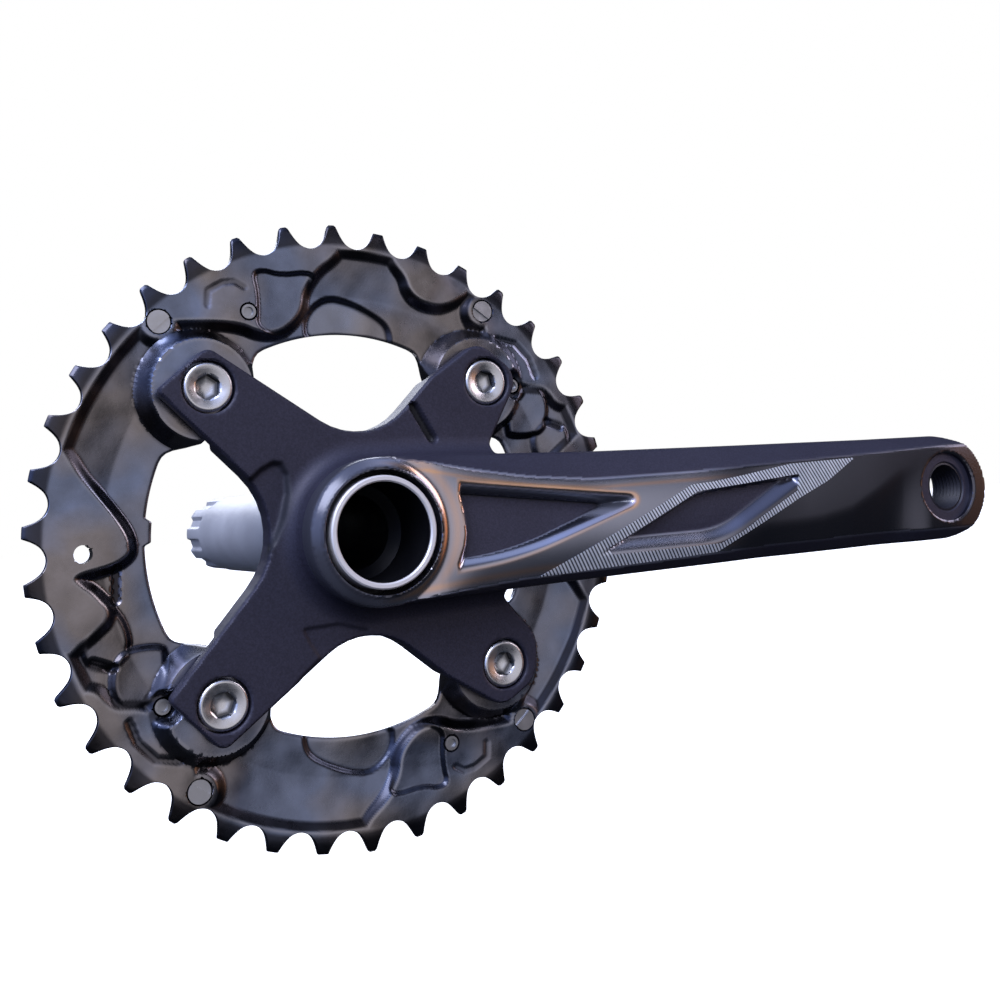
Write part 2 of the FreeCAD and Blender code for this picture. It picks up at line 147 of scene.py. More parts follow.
# Helpers for meshes. The points given to newPiece are x, out and z in millimetres, and its
# numbers are kept at the points for the material to read.
def newPiece(name, points, faces, node, material, numbers=None, sharp=35):
    points = np.asarray(points, float)
    mesh = bpy.data.meshes.new(name)
    co = np.column_stack([points[:, 0], -points[:, 1], points[:, 2]]) * 0.001
    mesh.from_pydata(co, [], faces)
    for label, values in (numbers or {}).items():
        attribute = mesh.attributes.new(label, "FLOAT", "POINT")
        attribute.data.foreach_set("value", np.asarray(values, np.float32))
    mesh.validate()
    mesh.shade_smooth()
    mesh.set_sharp_from_angle(angle=math.radians(sharp))
    piece = bpy.data.objects.new(name, mesh)
    bpy.context.scene.collection.objects.link(piece)
    mesh.materials.append(material)
    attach(piece, "root")
    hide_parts(node)
    print(f"{name}: {len(mesh.polygons)} faces")
    return piece


def joinParts(parts):
    # Several pairs of points and faces become one.
    points, faces, start = [], [], 0
    for partPoints, partFaces in parts:
        points.append(partPoints)
        faces += [[corner + start for corner in face] for face in partFaces]
        start += len(partPoints)
    return np.vstack(points), faces


def slide(x, z, distance, moved):
    # Moves the chosen points onto the line where "distance" is zero, along its slope.
    step = 0.02
    px, pz = x[moved], z[moved]
    for _ in range(3):
        d = distance(px, pz)
        gx = (distance(px + step, pz) - distance(px - step, pz)) / (2 * step)
        gz = (distance(px, pz + step) - distance(px, pz - step)) / (2 * step)
        scale = np.maximum(gx ** 2 + gz ** 2, 0.3)
        px = px - np.clip(d * gx / scale, -0.3, 0.3)
        pz = pz - np.clip(d * gz / scale, -0.3, 0.3)
    x[moved], z[moved] = px, pz


def trimmedSheet(xLines, zLines, distance, front, back, wallRows, creases=()):
    # A thick sheet cut to an outline. A grid of points lies over the outline; those within half
    # a cell of it move onto it, cells beyond it are left out, the front stands at height
    # front(x, z) and the back at back(x, z), and a wall joins them along every free edge.
    # Points near a crease move onto it in the same way, so that the crease is a clean line.
    x, z = [grid.copy() for grid in np.meshgrid(xLines, zLines, indexing="ij")]
    dx = np.gradient(xLines)[:, None] * np.ones_like(x)
    dz = np.gradient(zLines)[None, :] * np.ones_like(x)
    reach = 0.5 * np.maximum(dx, dz) * 1.001
    d = distance(x, z)
    onEdge = np.abs(d) <= reach
    for crease in creases:
        slide(x, z, crease, (np.abs(crease(x, z)) <= reach) & ~onEdge & (d < -1.2 * reach))
    slide(x, z, distance, onEdge)
    valid = (d < 0) | onEdge
    index = np.arange(x.size).reshape(x.shape)
    a, b = index[:-1, :-1], index[1:, :-1]
    c, e = index[1:, 1:], index[:-1, 1:]
    corners = np.stack([a, b, c, e], -1).reshape(-1, 4)
    ok = valid.ravel()[corners]
    edge = onEdge.ravel()[corners]
    fx, fz = x.ravel(), z.ravel()
    middle = distance(fx[corners].mean(1), fz[corners].mean(1))
    size = reach.ravel()[corners[:, 0]]
    quads = corners[(ok.sum(1) == 4) & ~(edge.all(1) & (middle > -0.1 * size))]
    threes = np.flatnonzero(ok.sum(1) == 3)
    triangles = corners[threes][ok[threes]].reshape(-1, 3)
    tx, tz = fx[triangles], fz[triangles]
    area = (tx[:, 1] - tx[:, 0]) * (tz[:, 2] - tz[:, 0]) - (tx[:, 2] - tx[:, 0]) * (tz[:, 1] - tz[:, 0])
    inner = distance(tx.mean(1), tz.mean(1)) < -0.02
    triangles = triangles[(area > 0.02 * size[threes] ** 2) & inner]
    used = np.unique(np.concatenate([quads.ravel(), triangles.ravel()]))
    new = np.full(x.size, -1)
    new[used] = np.arange(len(used))
    quads, triangles = new[quads], new[triangles]
    px, pz = fx[used], fz[used]
    top, bottom = front(px, pz), back(px, pz)
    count = len(used)
    # edges that only one face uses
    sides = np.vstack([quads[:, [i, (i + 1) % 4]] for i in range(4)]
                      + [triangles[:, [i, (i + 1) % 3]] for i in range(3)])
    key = np.sort(sides, 1)[:, 0] * count + np.sort(sides, 1)[:, 1]
    order = np.argsort(key, kind="stable")
    _, first, times = np.unique(key[order], return_index=True, return_counts=True)
    free = sides[order[first[times == 1]]]
    rim = np.unique(free)
    place = np.full(count, -1)
    place[rim] = np.arange(len(rim))
    points = [np.column_stack([px, top, pz])]
    for row in range(1, wallRows + 1):
        share = row / (wallRows + 1)
        points.append(np.column_stack([px[rim], top[rim] + (bottom[rim] - top[rim]) * share, pz[rim]]))
    points.append(np.column_stack([px, bottom, pz]))
    lower = count + wallRows * len(rim)
    faces = quads.tolist() + triangles.tolist()
    faces += (quads[:, ::-1] + lower).tolist() + (triangles[:, ::-1] + lower).tolist()
    u, v = free[:, 0], free[:, 1]
    for row in range(wallRows + 1):
        upU = u if row == 0 else count + (row - 1) * len(rim) + place[u]
        upV = v if row == 0 else count + (row - 1) * len(rim) + place[v]
        downU = u + lower if row == wallRows else count + row * len(rim) + place[u]
        downV = v + lower if row == wallRows else count + row * len(rim) + place[v]
        faces += np.column_stack([upV, upU, downU, downV]).tolist()
    return np.vstack(points), faces


def turned(profile, steps, centre=(0, 0), shape=None):
    # A closed profile of (radius, out) carried round an axis parallel to y. It runs from the
    # inner side of the front over the outside to the back. "shape" may change the radius with
    # the angle and the row: shape(angle, row number, radius).
    profile = np.asarray(profile, float)
    angle = np.arange(steps) * 2 * math.pi / steps
    radius = np.repeat(profile[:, :1], steps, 1)
    if shape is not None:
        radius = shape(angle[None, :], np.arange(len(profile))[:, None], radius)
    out = np.repeat(profile[:, 1:], steps, 1)
    x = centre[0] + radius * np.cos(angle)
    z = centre[1] + radius * np.sin(angle)
    points = np.stack([x, out, z], -1).reshape(-1, 3)
    rows = len(profile)
    i = np.arange(rows)[:, None]
    j = np.arange(steps)[None, :]
    nextRow, nextStep = (i + 1) % rows, (j + 1) % steps
    faces = np.stack(np.broadcast_arrays(i * steps + j, nextRow * steps + j, nextRow * steps + nextStep,
                                         i * steps + nextStep), -1).reshape(-1, 4)
    # a row on the axis is one point
    poles = np.flatnonzero(profile[:, 0] == 0) * steps
    for pole in poles:
        faces = np.where((faces >= pole) & (faces < pole + steps), pole, faces)
    plain = [list(dict.fromkeys(face)) for face in faces.tolist()]
    plain = [face for face in plain if len(face) > 2]
    kept = sorted({corner for face in plain for corner in face})
    place = {old: new for new, old in enumerate(kept)}
    return points[kept], [[place[corner] for corner in face] for face in plain]


# Helpers for materials
def linear(hexText):
    parts = [int(hexText[i:i + 2], 16) / 255 for i in (1, 3, 5)]
    return [c / 12.92 if c <= 0.04045 else ((c + 0.055) / 1.055) ** 2.4 for c in parts] + [1]


def feed(node, inputs):
    # An input is a number, a colour, an output, or a node, which stands for its first output
    # in use.
    for socket, value in inputs.items():
        if isinstance(value, bpy.types.Node):
            value = next(output for output in value.outputs if output.enabled)
        if isinstance(value, bpy.types.NodeSocket):
            node.id_data.links.new(value, node.inputs[socket])
        else:
            node.inputs[socket].default_value = value


def addNode(tree, kind, inputs=None, **settings):
    node = tree.nodes.new("ShaderNode" + kind)
    for label, value in settings.items():
        setattr(node, label, value)
    feed(node, inputs or {})
    return node


def newMaterial(name, **values):
    material = bpy.data.materials.new(name)
    material.use_nodes = True
    tree = material.node_tree
    shader = tree.nodes["Principled BSDF"]
    feed(shader, values)
    place = addNode(tree, "TexCoord").outputs["Object"]
    return material, tree, shader, place


def perMillimetre(size):
    # Noise scale, in cycles per metre, for features of this size in millimetres.
    return 1000 / size


# The camera stands on the outer side, left of the ring, and looks slightly upwards.
cameraLook = {
    "lens": 43.23, "shiftX": -0.0064, "shiftY": -0.105,
    # its right, up and back directions in columns, then where it stands, in metres
    "place": ((0.87505, 0.02191, -0.48354, -0.11175),
              (-0.47914, -0.10249, -0.87173, -0.34112),
              (-0.06866, 0.99449, -0.07919, 0.00779),
              (0, 0, 0, 1)),
}
camera = bpy.data.objects.new("camera", bpy.data.cameras.new("camera"))
camera.data.sensor_width = 36
camera.data.lens = cameraLook["lens"]
camera.data.shift_x = cameraLook["shiftX"]
camera.data.shift_y = cameraLook["shiftY"]
camera.data.clip_start = 0.01
camera.matrix_world = Matrix(cameraLook["place"])
bpy.context.scene.collection.objects.link(camera)
bpy.context.scene.camera = camera

studio = {
    "floorHeight": -0.0796,
    "floorSize": 6.0,
    "floorGlow": 0.95,
    "ground": "#2e3139",
    # soft glows that the polished faces reflect: direction, colour, strength, inner and outer
    # reach as the cosine of the angle from that direction
    "glows": (
        ((0.02, -0.99, 0.13), "#918f95", 1.9, 0.955, 0.82),
        ((-0.66, -0.32, 0.68), "#a6b9f2", 1.7, 0.92, 0.42),
        ((0.05, -0.20, 0.98), "#a9b4d8", 1.0, 0.95, 0.76),
        ((0.92, -0.38, 0.10), "#e0a57f", 0.75, 0.985, 0.90),
    ),
    # soft boxes: name, where it stands, where it aims, width, height, watts and colour
    "softboxes": (
        ("keyLight", (-0.65, -0.75, 0.85), (0.03, -0.06, 0), 0.7, 0.7, 13, "#e9ecff"),
        ("sideLight", (0.95, -0.55, 0.45), (0.05, -0.07, 0), 0.5, 0.6, 2.5, "#f7efff"),
        ("backLight", (0.05, 0.85, 0.7), (0.03, -0.03, 0), 0.9, 0.6, 10, "#eef3ff"),
    ),
}


def makeFloor():
    # Matt white paint that is lit evenly, so that it stays pale in every view. It gives no light
    # and shows in no reflection.
    half, level = studio["floorSize"] / 2, studio["floorHeight"]
    mesh = bpy.data.meshes.new("floor")
    mesh.from_pydata([(-half, -half, level), (half, -half, level), (half, half, level),
                      (-half, half, level)], [], [(0, 1, 2, 3)])
    floor = bpy.data.objects.new("floor", mesh)
    bpy.context.scene.collection.objects.link(floor)
    material, _, shader, _ = newMaterial("paleFloorPaint", Roughness=0.9)
    feed(shader, {"Base Color": linear("#fbfbfb"), "Emission Color": linear("#ffffff"),
                  "Emission Strength": studio["floorGlow"]})
    mesh.materials.append(material)
    floor.visible_glossy = False
    floor.visible_diffuse = False


def makeWorld():
    # White behind the object; what it reflects is a dark room with a few large soft glows.
    world = bpy.data.worlds.new("studioWorld")
    bpy.context.scene.world = world
    world.use_nodes = True
    tree = world.node_tree
    tree.nodes.clear()
    direction = addNode(tree, "TexCoord").outputs["Generated"]
    light = addNode(tree, "RGB").outputs["Color"]
    light.default_value = linear(studio["ground"])
    for aim, colour, strength, inner, outer in studio["glows"]:
        aim = np.array(aim) / np.linalg.norm(aim)
        near = addNode(tree, "VectorMath", {0: direction, 1: aim.tolist()}, operation="DOT_PRODUCT")
        share = addNode(tree, "MapRange", {"Value": near, "From Min": outer, "From Max": inner},
                        interpolation_type="SMOOTHSTEP")
        glow = [part * strength for part in linear(colour)[:3]] + [1]
        light = addNode(tree, "Mix", {"Factor": share, "A": light, "B": glow},
                        data_type="RGBA", blend_type="LIGHTEN")
    room = addNode(tree, "Background", {"Color": light})
    white = addNode(tree, "Background", {"Color": (1, 1, 1, 1)})
    seen = addNode(tree, "LightPath").outputs["Is Camera Ray"]
    both = addNode(tree, "MixShader", {"Fac": seen, 1: room, 2: white})
    addNode(tree, "OutputWorld", {"Surface": both})


def addSoftbox(name, place, aim, width, height, power, colour):
    light = bpy.data.lights.new(name, "AREA")
    light.shape = "RECTANGLE"
    light.size = width
    light.size_y = height
    light.energy = power
    light.color = linear(colour)[:3]
    box = bpy.data.objects.new(name, light)
    direction = np.array(aim, float) - np.array(place, float)
    box.rotation_mode = "QUATERNION"
    box.rotation_quaternion = Vector(direction).to_track_quat("-Z", "Y")
    box.location = place
    bpy.context.scene.collection.objects.link(box)


makeFloor()
makeWorld()
for softbox in studio["softboxes"]:
    addSoftbox(*softbox)
print("camera, floor and light made")


def blastedBlack():
    # Forged aluminium, bead blasted and anodised black: a fine even grain, soft sheen and a
    # faint violet cast. The polished bands are bright metal with a painted warm highlight at their
    # edges, dimmed where they fade, which on the hub's far side is painted shade; steep walls, the
    # slot, the grooves and the pedal thread are darkened towards black as painted shade.
    # The grain is drawn coarser than the real one, so that it shows.
    material, tree, shader, place = newMaterial("anodisedBlackAluminium")
    gloss, fade, paintedWarmHighlight, shade = [addNode(tree, "Attribute", attribute_name=label).outputs["Fac"]
                                  for label in ("gloss", "fade", "paintedWarmHighlight", "shade")]
    grain = addNode(tree, "TexNoise", {"Vector": place, "Scale": perMillimetre(0.45), "Detail": 3.0,
                                       "Roughness": 0.6})
    cloud = addNode(tree, "TexNoise", {"Vector": place, "Scale": perMillimetre(26), "Detail": 3.0})
    matte = addNode(tree, "Mix", {"Factor": cloud, "A": linear("#2b2a37"), "B": linear("#3a3948")},
                    data_type="RGBA")
    speck = addNode(tree, "MapRange", {"Value": grain, "From Min": 0.35, "From Max": 0.7,
                                       "To Min": 0.8, "To Max": 1.25})
    grainy = addNode(tree, "VectorMath", {0: matte, "Scale": speck}, operation="SCALE")
    # Painted warm highlight: the polished colour turns copper along the bands' edges.
    bright = addNode(tree, "Mix", {"Factor": paintedWarmHighlight, "A": linear("#c0c4d4"), "B": linear("#ffd0ac")},
                     data_type="RGBA")
    # Dimmed where the bands fade; on the hub's far side this is painted shade.
    dimmedBright = addNode(tree, "Mix", {"Factor": fade, "A": bright, "B": linear("#6d6e78")},
                      data_type="RGBA")
    clean = addNode(tree, "Mix", {"Factor": gloss, "A": grainy, "B": dimmedBright}, data_type="RGBA")
    # Painted shade on steep walls, the slot, grooves and the pedal thread, which also lose their metal.
    colour = addNode(tree, "Mix", {"Factor": shade, "A": clean, "B": linear("#0d0d12")},
                     data_type="RGBA")
    smear = addNode(tree, "MapRange", {"Value": cloud, "To Min": 0.17, "To Max": 0.27})
    rough = addNode(tree, "Mix", {"Factor": gloss, "A": 0.5, "B": smear})
    bare = addNode(tree, "Mix", {"Factor": gloss, "A": 0.35, "B": 1.0})
    metal = addNode(tree, "Mix", {"Factor": shade, "A": bare, "B": 0.0})
    depth = addNode(tree, "Mix", {"Factor": gloss, "A": 0.35, "B": 0.03})
    bump = addNode(tree, "Bump", {"Height": grain, "Distance": 0.00012, "Strength": depth})
    feed(shader, {"Base Color": colour, "Roughness": rough, "Metallic": metal, "Normal": bump})
    return material


def blackRing():
    # Stamped and machined aluminium ring, polished and dyed black: glossy, slightly uneven, its
    # tone drifting between blue grey and brown; the teeth and the back are darker, stepped walls,
    # grooves, seat walls and the dips round the fasteners carry painted shade, and raised edges and
    # sunk floors carry a painted highlight.
    material, tree, shader, place = newMaterial("polishedBlackAluminium", Metallic=1.0)
    paintedHighlight, shade = [addNode(tree, "Attribute", attribute_name=label).outputs["Fac"]
                  for label in ("paintedHighlight", "shade")]
    drift = addNode(tree, "TexNoise", {"Vector": place, "Scale": perMillimetre(24), "Detail": 2.0,
                                       "Roughness": 0.45})
    side = addNode(tree, "MapRange", {"Value": drift, "From Min": 0.4, "From Max": 0.6})
    cloud = addNode(tree, "TexNoise", {"Vector": place, "Scale": perMillimetre(9), "Detail": 4.0,
                                       "Roughness": 0.6})
    fine = addNode(tree, "TexNoise", {"Vector": place, "Scale": perMillimetre(0.7), "Detail": 2.0})
    dye = addNode(tree, "Mix", {"Factor": side, "A": linear("#858fa6"), "B": linear("#9c9592")},
                  data_type="RGBA")
    mottle = addNode(tree, "MapRange", {"Value": cloud, "From Min": 0.3, "From Max": 0.7,
                                        "To Min": 0.75, "To Max": 1.2})
    dark = addNode(tree, "VectorMath", {0: dye, "Scale": mottle}, operation="SCALE")
    # Painted highlight on raised edges and sunk floors.
    highlighted = addNode(tree, "Mix", {"Factor": paintedHighlight, "A": dark, "B": linear("#c9c8cc")},
                     data_type="RGBA")
    # Painted shade on walls, grooves, seats and dips, and darker teeth and back.
    colour = addNode(tree, "Mix", {"Factor": shade, "A": highlighted, "B": linear("#2b2b32")},
                     data_type="RGBA")
    rough = addNode(tree, "MapRange", {"Value": cloud, "From Min": 0.3, "From Max": 0.7,
                                       "To Min": 0.2, "To Max": 0.34})
    swell = addNode(tree, "Bump", {"Height": drift, "Distance": 0.0022, "Strength": 1.0})
    bump = addNode(tree, "Bump", {"Height": fine, "Distance": 0.00006, "Strength": 0.18,
                                  "Normal": swell})
    feed(shader, {"Base Color": colour, "Roughness": rough, "Normal": bump})
    return material


def brightSteel(name, tone, roughness):
    # Turned and plated steel: bright, with fine tool rings too close to see singly, drawn as a
    # fine noise, small dull spots from handling, and painted shade in its recesses.
    material, tree, shader, place = newMaterial(name, Metallic=1.0)
    recessShade = addNode(tree, "Attribute", attribute_name="recessShade").outputs["Fac"]
    spots = addNode(tree, "TexNoise", {"Vector": place, "Scale": perMillimetre(2.5), "Detail": 4.0})
    fine = addNode(tree, "TexNoise", {"Vector": place, "Scale": perMillimetre(0.3), "Detail": 2.0})
    clean = addNode(tree, "Mix", {"Factor": spots, "A": linear(tone[0]), "B": linear(tone[1])},
                    data_type="RGBA")
    # Painted shade in the recesses.
    colour = addNode(tree, "Mix", {"Factor": recessShade, "A": clean, "B": linear("#2c2d31")},
                     data_type="RGBA")
    rough = addNode(tree, "MapRange", {"Value": spots, "From Min": 0.3, "From Max": 0.7,
                                       "To Min": roughness - 0.06, "To Max": roughness + 0.08})
    bump = addNode(tree, "Bump", {"Height": fine, "Distance": 0.00004, "Strength": 0.25})
    feed(shader, {"Base Color": colour, "Roughness": rough, "Normal": bump})
    return material


arm = {
    "hubRadius": 17.9,
    "hubMouth": 14.9,
    "mouthHeight": 76.4,
    "rimHeight": 74.0,
    "pedalX": 175.0,
    "pedalEnd": 15.4,
    "pedalSink": 10.0,
    "pedalFace": 90.8,
    "pedalThread": 7.14,
    "threadPitch": 1.27,
    # how far the face rises between the ridges, and falls from them to the sides
    "crown": 1.1,
    "upperFall": 5.0,
    "lowerFall": 3.0,
    "edge": 1.1,
    "backEdge": 1.2,
    # the sunk triangle: height and lean of its floor, its blunt end, and its walls' widths
    "triangleFloor": 71.6,
    "triangleLean": 2.4,
    "triangleEnd": 71.2,
    "triangleWall": 3.2,
    "triangleLeftWall": 2.0,
    "pocketDepth": 2.4,
}
# stations along the arm: x, then top, bottom, upper ridge, lower ridge, front and rear height
armLines = np.array([
    (-30, 18.0, -18.0, 18.6, -18.6, 66.0, 58.0),
    (0, 18.0, -17.9, 17.6, -17.4, 73.4, 58.5),
    (12, 18.2, -17.6, 16.4, -16.6, 75.2, 60.0),
    (20, 17.9, -17.4, 14.5, -15.9, 75.6, 60.6),
    (40, 17.2, -17.0, 11.0, -14.5, 76.6, 62.0),
    (60, 16.7, -16.6, 9.2, -14.2, 78.0, 63.5),
    (95, 16.2, -16.0, 9.6, -13.0, 81.2, 67.0),
    (110, 16.0, -15.8, 10.2, -12.4, 82.8, 68.5),
    (150, 15.5, -15.5, 11.4, -11.8, 88.0, 74.5),
    (175, 15.4, -15.4, 12.4, -12.4, 90.8, 77.6),
    (200, 15.4, -15.4, 12.4, -12.4, 90.8, 77.6),
])


def armLine(number, x):
    # Straight between stations, then averaged over 8 mm so that the lines have no kinks.
    return sum(np.interp(x + shift, armLines[:, 0], armLines[:, number])
               for shift in (-4, -2, 0, 2, 4)) / 5


armOutline = roundOutline([(0, 17.9, 0), (12, 18.2, 60), (60, 16.7, 100), (110, 16.0, 100),
                           (150, 15.5, 100), (175, 15.4, 0), (175, -15.4, 0), (150, -15.5, 100),
                           (110, -15.8, 100), (60, -16.6, 100), (12, -17.6, 60), (0, -17.9, 0)])


def bodyDistance(x, z):
    # Hub circle, arm and rounded pedal end together.
    d = np.minimum(np.hypot(x, z) - arm["hubRadius"], outlineDistance(armOutline, x, z))
    return np.minimum(d, np.hypot(x - arm["pedalX"], z) - arm["pedalEnd"])


def armTrim(x, z):
    # The body less its mouth and its pedal eye.
    d = np.maximum(bodyDistance(x, z), arm["hubMouth"] - np.hypot(x, z))
    return np.maximum(d, arm["pedalSink"] - np.hypot(x - arm["pedalX"], z))


def triangleSides(x, z):
    # Distance inwards from the sunk triangle's upper side and from its lower side.
    upper = -lineSide(22, 10.9, 66, 5.4, x, z)
    lower = lineSide(35.1, -10.3, 50.2, -5.2, x, z)
    return upper, softMin(lower, lineSide(19.0, -11.3, 35.1, -10.3, x, z), 3)


def triangleRim(x, z):
    # Distance inwards from the triangle's long sides and blunt end, and from its left side,
    # which bulges inwards.
    upper, lower = triangleSides(x, z)
    inward = softMin(softMin(upper, lower, 1.5), arm["triangleEnd"] - x, 2.5)
    left = x - np.interp(z, [-11, -9.3, -5, -2, 3, 7.9, 10], [19.0, 18.8, 20.6, 21.2, 21.0, 20.2, 20.6])
    return inward, left


def triangleFloorEdge(x, z):
    # Zero along the foot of the triangle's walls.
    inward, left = triangleRim(x, z)
    return softMin(inward - arm["triangleWall"], left - arm["triangleLeftWall"], 0.3)


def triangleDepth(x, z):
    # From 0 at the triangle's rim to 1 on its floor.
    inward, left = triangleRim(x, z)
    return softMin(inward / arm["triangleWall"], left / arm["triangleLeftWall"], 0.25)


def pocketDepth(x, z):
    # The long pocket under the hatched band: steep above, a wide polished slope below.
    upper = softMin(-lineSide(61, -9.2, 89, 3.9, x, z), -lineSide(89, 3.9, 122, 6.6, x, z), 2) / 0.9
    lower = softMin(lineSide(61, -10.6, 97, -10.4, x, z), lineSide(97, -10.4, 121, 2.6, x, z), 3) / 4.4
    end = (122.4 - x) / 1.6
    return softMin(softMin(upper, lower, 0.2), end, 0.3)


def armFront(x, z):
    # Height of the outer face: the crowned arm and the hub's cone, less the sunk areas.
    radius = np.hypot(x, z)
    face = armLine(5, x)
    ridge, low = armLine(3, x), armLine(4, x)
    top, bottom = armLine(1, x), armLine(2, x)
    # crowned between the ridges, then a bevel down to each side
    middle, half = (ridge + low) / 2, (ridge - low) / 2
    crown = arm["crown"] * (1 - smoothStep(100, 125, x)) + 0.5
    face = face + crown * ((1 - np.clip((z - middle) / half, -1, 1) ** 2) - 0.6) * smoothStep(12, 30, x)
    upperSlope = arm["upperFall"] * softMax((z - ridge) / np.maximum(top - ridge, 0.8), 0, 0.12)
    lowerSlope = arm["lowerFall"] * softMax((low - z) / np.maximum(low - bottom, 0.8), 0, 0.12)
    face = face - upperSlope - lowerSlope
    # a soft fold runs to the pedal end, and the face turns down below it
    fold = np.interp(x, [104, 112, 122, 130, 140, 150, 158, 164], [-9, -7, -6.4, -6, -4, 1, 5.5, 7.5])
    face = face - 0.16 * softMax(fold - z, 0, 1.6) * smoothStep(100, 112, x) * (1 - smoothStep(150, 168, x))
    # the hub's face falls from its mouth to its rim
    fall = (arm["mouthHeight"] - arm["rimHeight"]) / (arm["hubRadius"] - arm["hubMouth"])
    cone = arm["mouthHeight"] - fall * (radius - arm["hubMouth"])
    cone = cone - 40 * np.clip(radius - arm["hubRadius"] - 0.6, 0, 1)
    height = softMax(cone, face, 1.2)
    # the triangle's floor leans, deep along the upper side and shallow along the lower one
    sunk = np.clip(triangleDepth(x, z), 0, 1) ** 1.7
    upper, lower = triangleSides(x, z)
    lean = arm["triangleLean"] * np.clip(upper / np.maximum(upper + lower, 1), 0, 1)
    height = height + (arm["triangleFloor"] + 0.03 * (x - 20) + lean - height) * sunk
    height = height - arm["pocketDepth"] * smoothStep(-0.08, 1.05, pocketDepth(x, z))
    # rounded edges along the sides, the hub's mouth and the pedal's eye
    edge = np.where(radius < arm["hubRadius"] + 0.5, 1, arm["edge"] / 0.5)
    height = height - edgeRound(-bodyDistance(x, z), 0.5) * edge
    height = height - edgeRound(radius - arm["hubMouth"], 0.4) * (radius < 16)
    fromPedal = np.hypot(x - arm["pedalX"], z)
    return height - edgeRound(fromPedal - arm["pedalSink"], 0.35) * (x > 160)


def armBack(x, z):
    # Height of the inner face, rounded to the sides.
    height = armLine(6, x) * np.ones_like(z)
    return height + edgeRound(-bodyDistance(x, z), arm["backEdge"])


def armNumbers(points):
    # gloss: 1 on the polished bands; fade: 1 where they darken, which on the hub's far side is painted
    # shade;
    # warm highlight: 1 where a warm highlight is painted at their edges; shade: painted shade on the steep
    # walls and the hub's far side.
    x, out, z = points.T
    radius = np.hypot(x, z)
    ridge, low = armLine(3, x), armLine(4, x)
    fromRidge = np.minimum(ridge - z, z - low)
    hub = arm["hubRadius"] - radius
    band = np.where(x < 6, np.maximum(hub, np.minimum(fromRidge, x)), np.maximum(fromRidge, hub))
    gloss = smoothStep(-0.15, 0.15, band)
    t, p = triangleDepth(x, z), pocketDepth(x, z)
    gloss = gloss * (1 - smoothStep(0.9, 1.0, t)) * (1 - smoothStep(0.8, 0.98, p))
    front = out > armLine(5, x) - 8
    gloss = gloss * front
    upperSide = smoothStep(-2, 2, z - (4.2 - 0.09 * (x - 20)))
    fade = smoothStep(86, 106, x)
    fade = fade + 0.85 * smoothStep(14.6, 15.0, radius) * (1 - smoothStep(15.5, 16.0, radius))
    # Painted shade: the hub's far side is dimmed.
    fade = np.clip(fade + 0.85 * smoothStep(6, -8, x), 0, 1)
    # Painted warm highlight along the triangle's rim, round the hub's mouth, beside the ridges and below
    # the hub.
    rim = np.minimum(*triangleRim(x, z))
    nearRim = np.exp(-((rim - 0.05) / 0.55) ** 2) * (0.45 + 0.55 * upperSide)
    nearRim = nearRim + np.exp(-((radius - 16.4) / 0.5) ** 2)
    nearRidge = np.exp(-((ridge - z - 2.2) / 0.5) ** 2) + np.exp(-((z - low - 2.0) / 0.9) ** 2)
    nearHub = 0.5 * np.exp(-((radius - 19.3) / 1.4) ** 2) * smoothStep(-17, -10, z)
    paintedWarmHighlight = np.clip(0.9 * nearRim + 0.6 * nearRidge + nearHub, 0, 1) * smoothStep(-4, 10, x)
    # Painted shade on the triangle's upper wall and the hub's far side.
    dark = smoothStep(0.18, 0.4, t) * (1 - smoothStep(1.0, 1.12, t)) * upperSide * front
    dark = np.maximum(dark, 0.6 * smoothStep(3, -8, x) * (radius < 18.2) * front)
    return {"gloss": gloss, "fade": fade, "paintedWarmHighlight": paintedWarmHighlight, "shade": 0.9 * dark}


def makeArm(material):
    xLines = mergeLines((-18.4, 130, 0.44), (130, 191.2, 0.5))
    zLines = mergeLines((-18.6, 18.8, 0.4),)
    creases = (triangleFloorEdge,
               lambda x, z: np.where(x > 14, z - armLine(3, x), np.hypot(x, z) - arm["hubRadius"]),
               lambda x, z: np.where(x > 14, armLine(4, x) - z, np.hypot(x, z) - arm["hubRadius"]))
    body = trimmedSheet(xLines, zLines, armTrim, armFront, armBack, 4, creases)
    # the threaded eye stands in the sunk pedal end
    sink, eye, face = arm["pedalSink"], arm["pedalThread"], arm["pedalFace"]
    thread = []
    for out in np.arange(78.4, face - 2.0, arm["threadPitch"]):
        thread += [(eye, out), (eye - 0.6, out + 0.5 * arm["threadPitch"])]
    eyePart = turned([(eye, face - 1.75), (eye + 0.35, face - 1.35), (sink + 0.2, face - 1.35),
                      (sink + 0.6, face - 2.5), (sink + 0.6, 78.0), (sink, 77.7), (eye + 0.3, 77.7),
                      (eye, 78.0)] + thread, 96, (arm["pedalX"], 0))
    # a sleeve, painted black as shade, lines the hub behind the spindle's head, and a boss carries it at
    # the back
    shadeSleeve = turned([(13.45, 66.0), (15.2, 66.0), (15.2, 46.2), (13.45, 46.2)], 128)
    boss = turned([(13.5, 46.5), (13.6, 60), (17.6, 62), (17.9, 60), (17.9, 47.0), (17.4, 45.6),
                   (16.4, 45.5), (13.9, 45.5)], 128)
    points, faces = joinParts([body, eyePart, shadeSleeve, boss])
    numbers = armNumbers(points)
    skip = len(body[0])
    for values in numbers.values():
        values[skip:] = 0
    # the pedal thread and the sleeve behind the hub's mouth are darkened as painted shade
    x, out, z = points[skip:].T
    numbers["shade"][skip:] = np.where(x > 100, 0.75 * (np.hypot(x - arm["pedalX"], z) < eye + 0.2),
                                       np.hypot(x, z) < 15.3)
    return newPiece("crankArm", points, faces, "crank_arm", material, numbers)


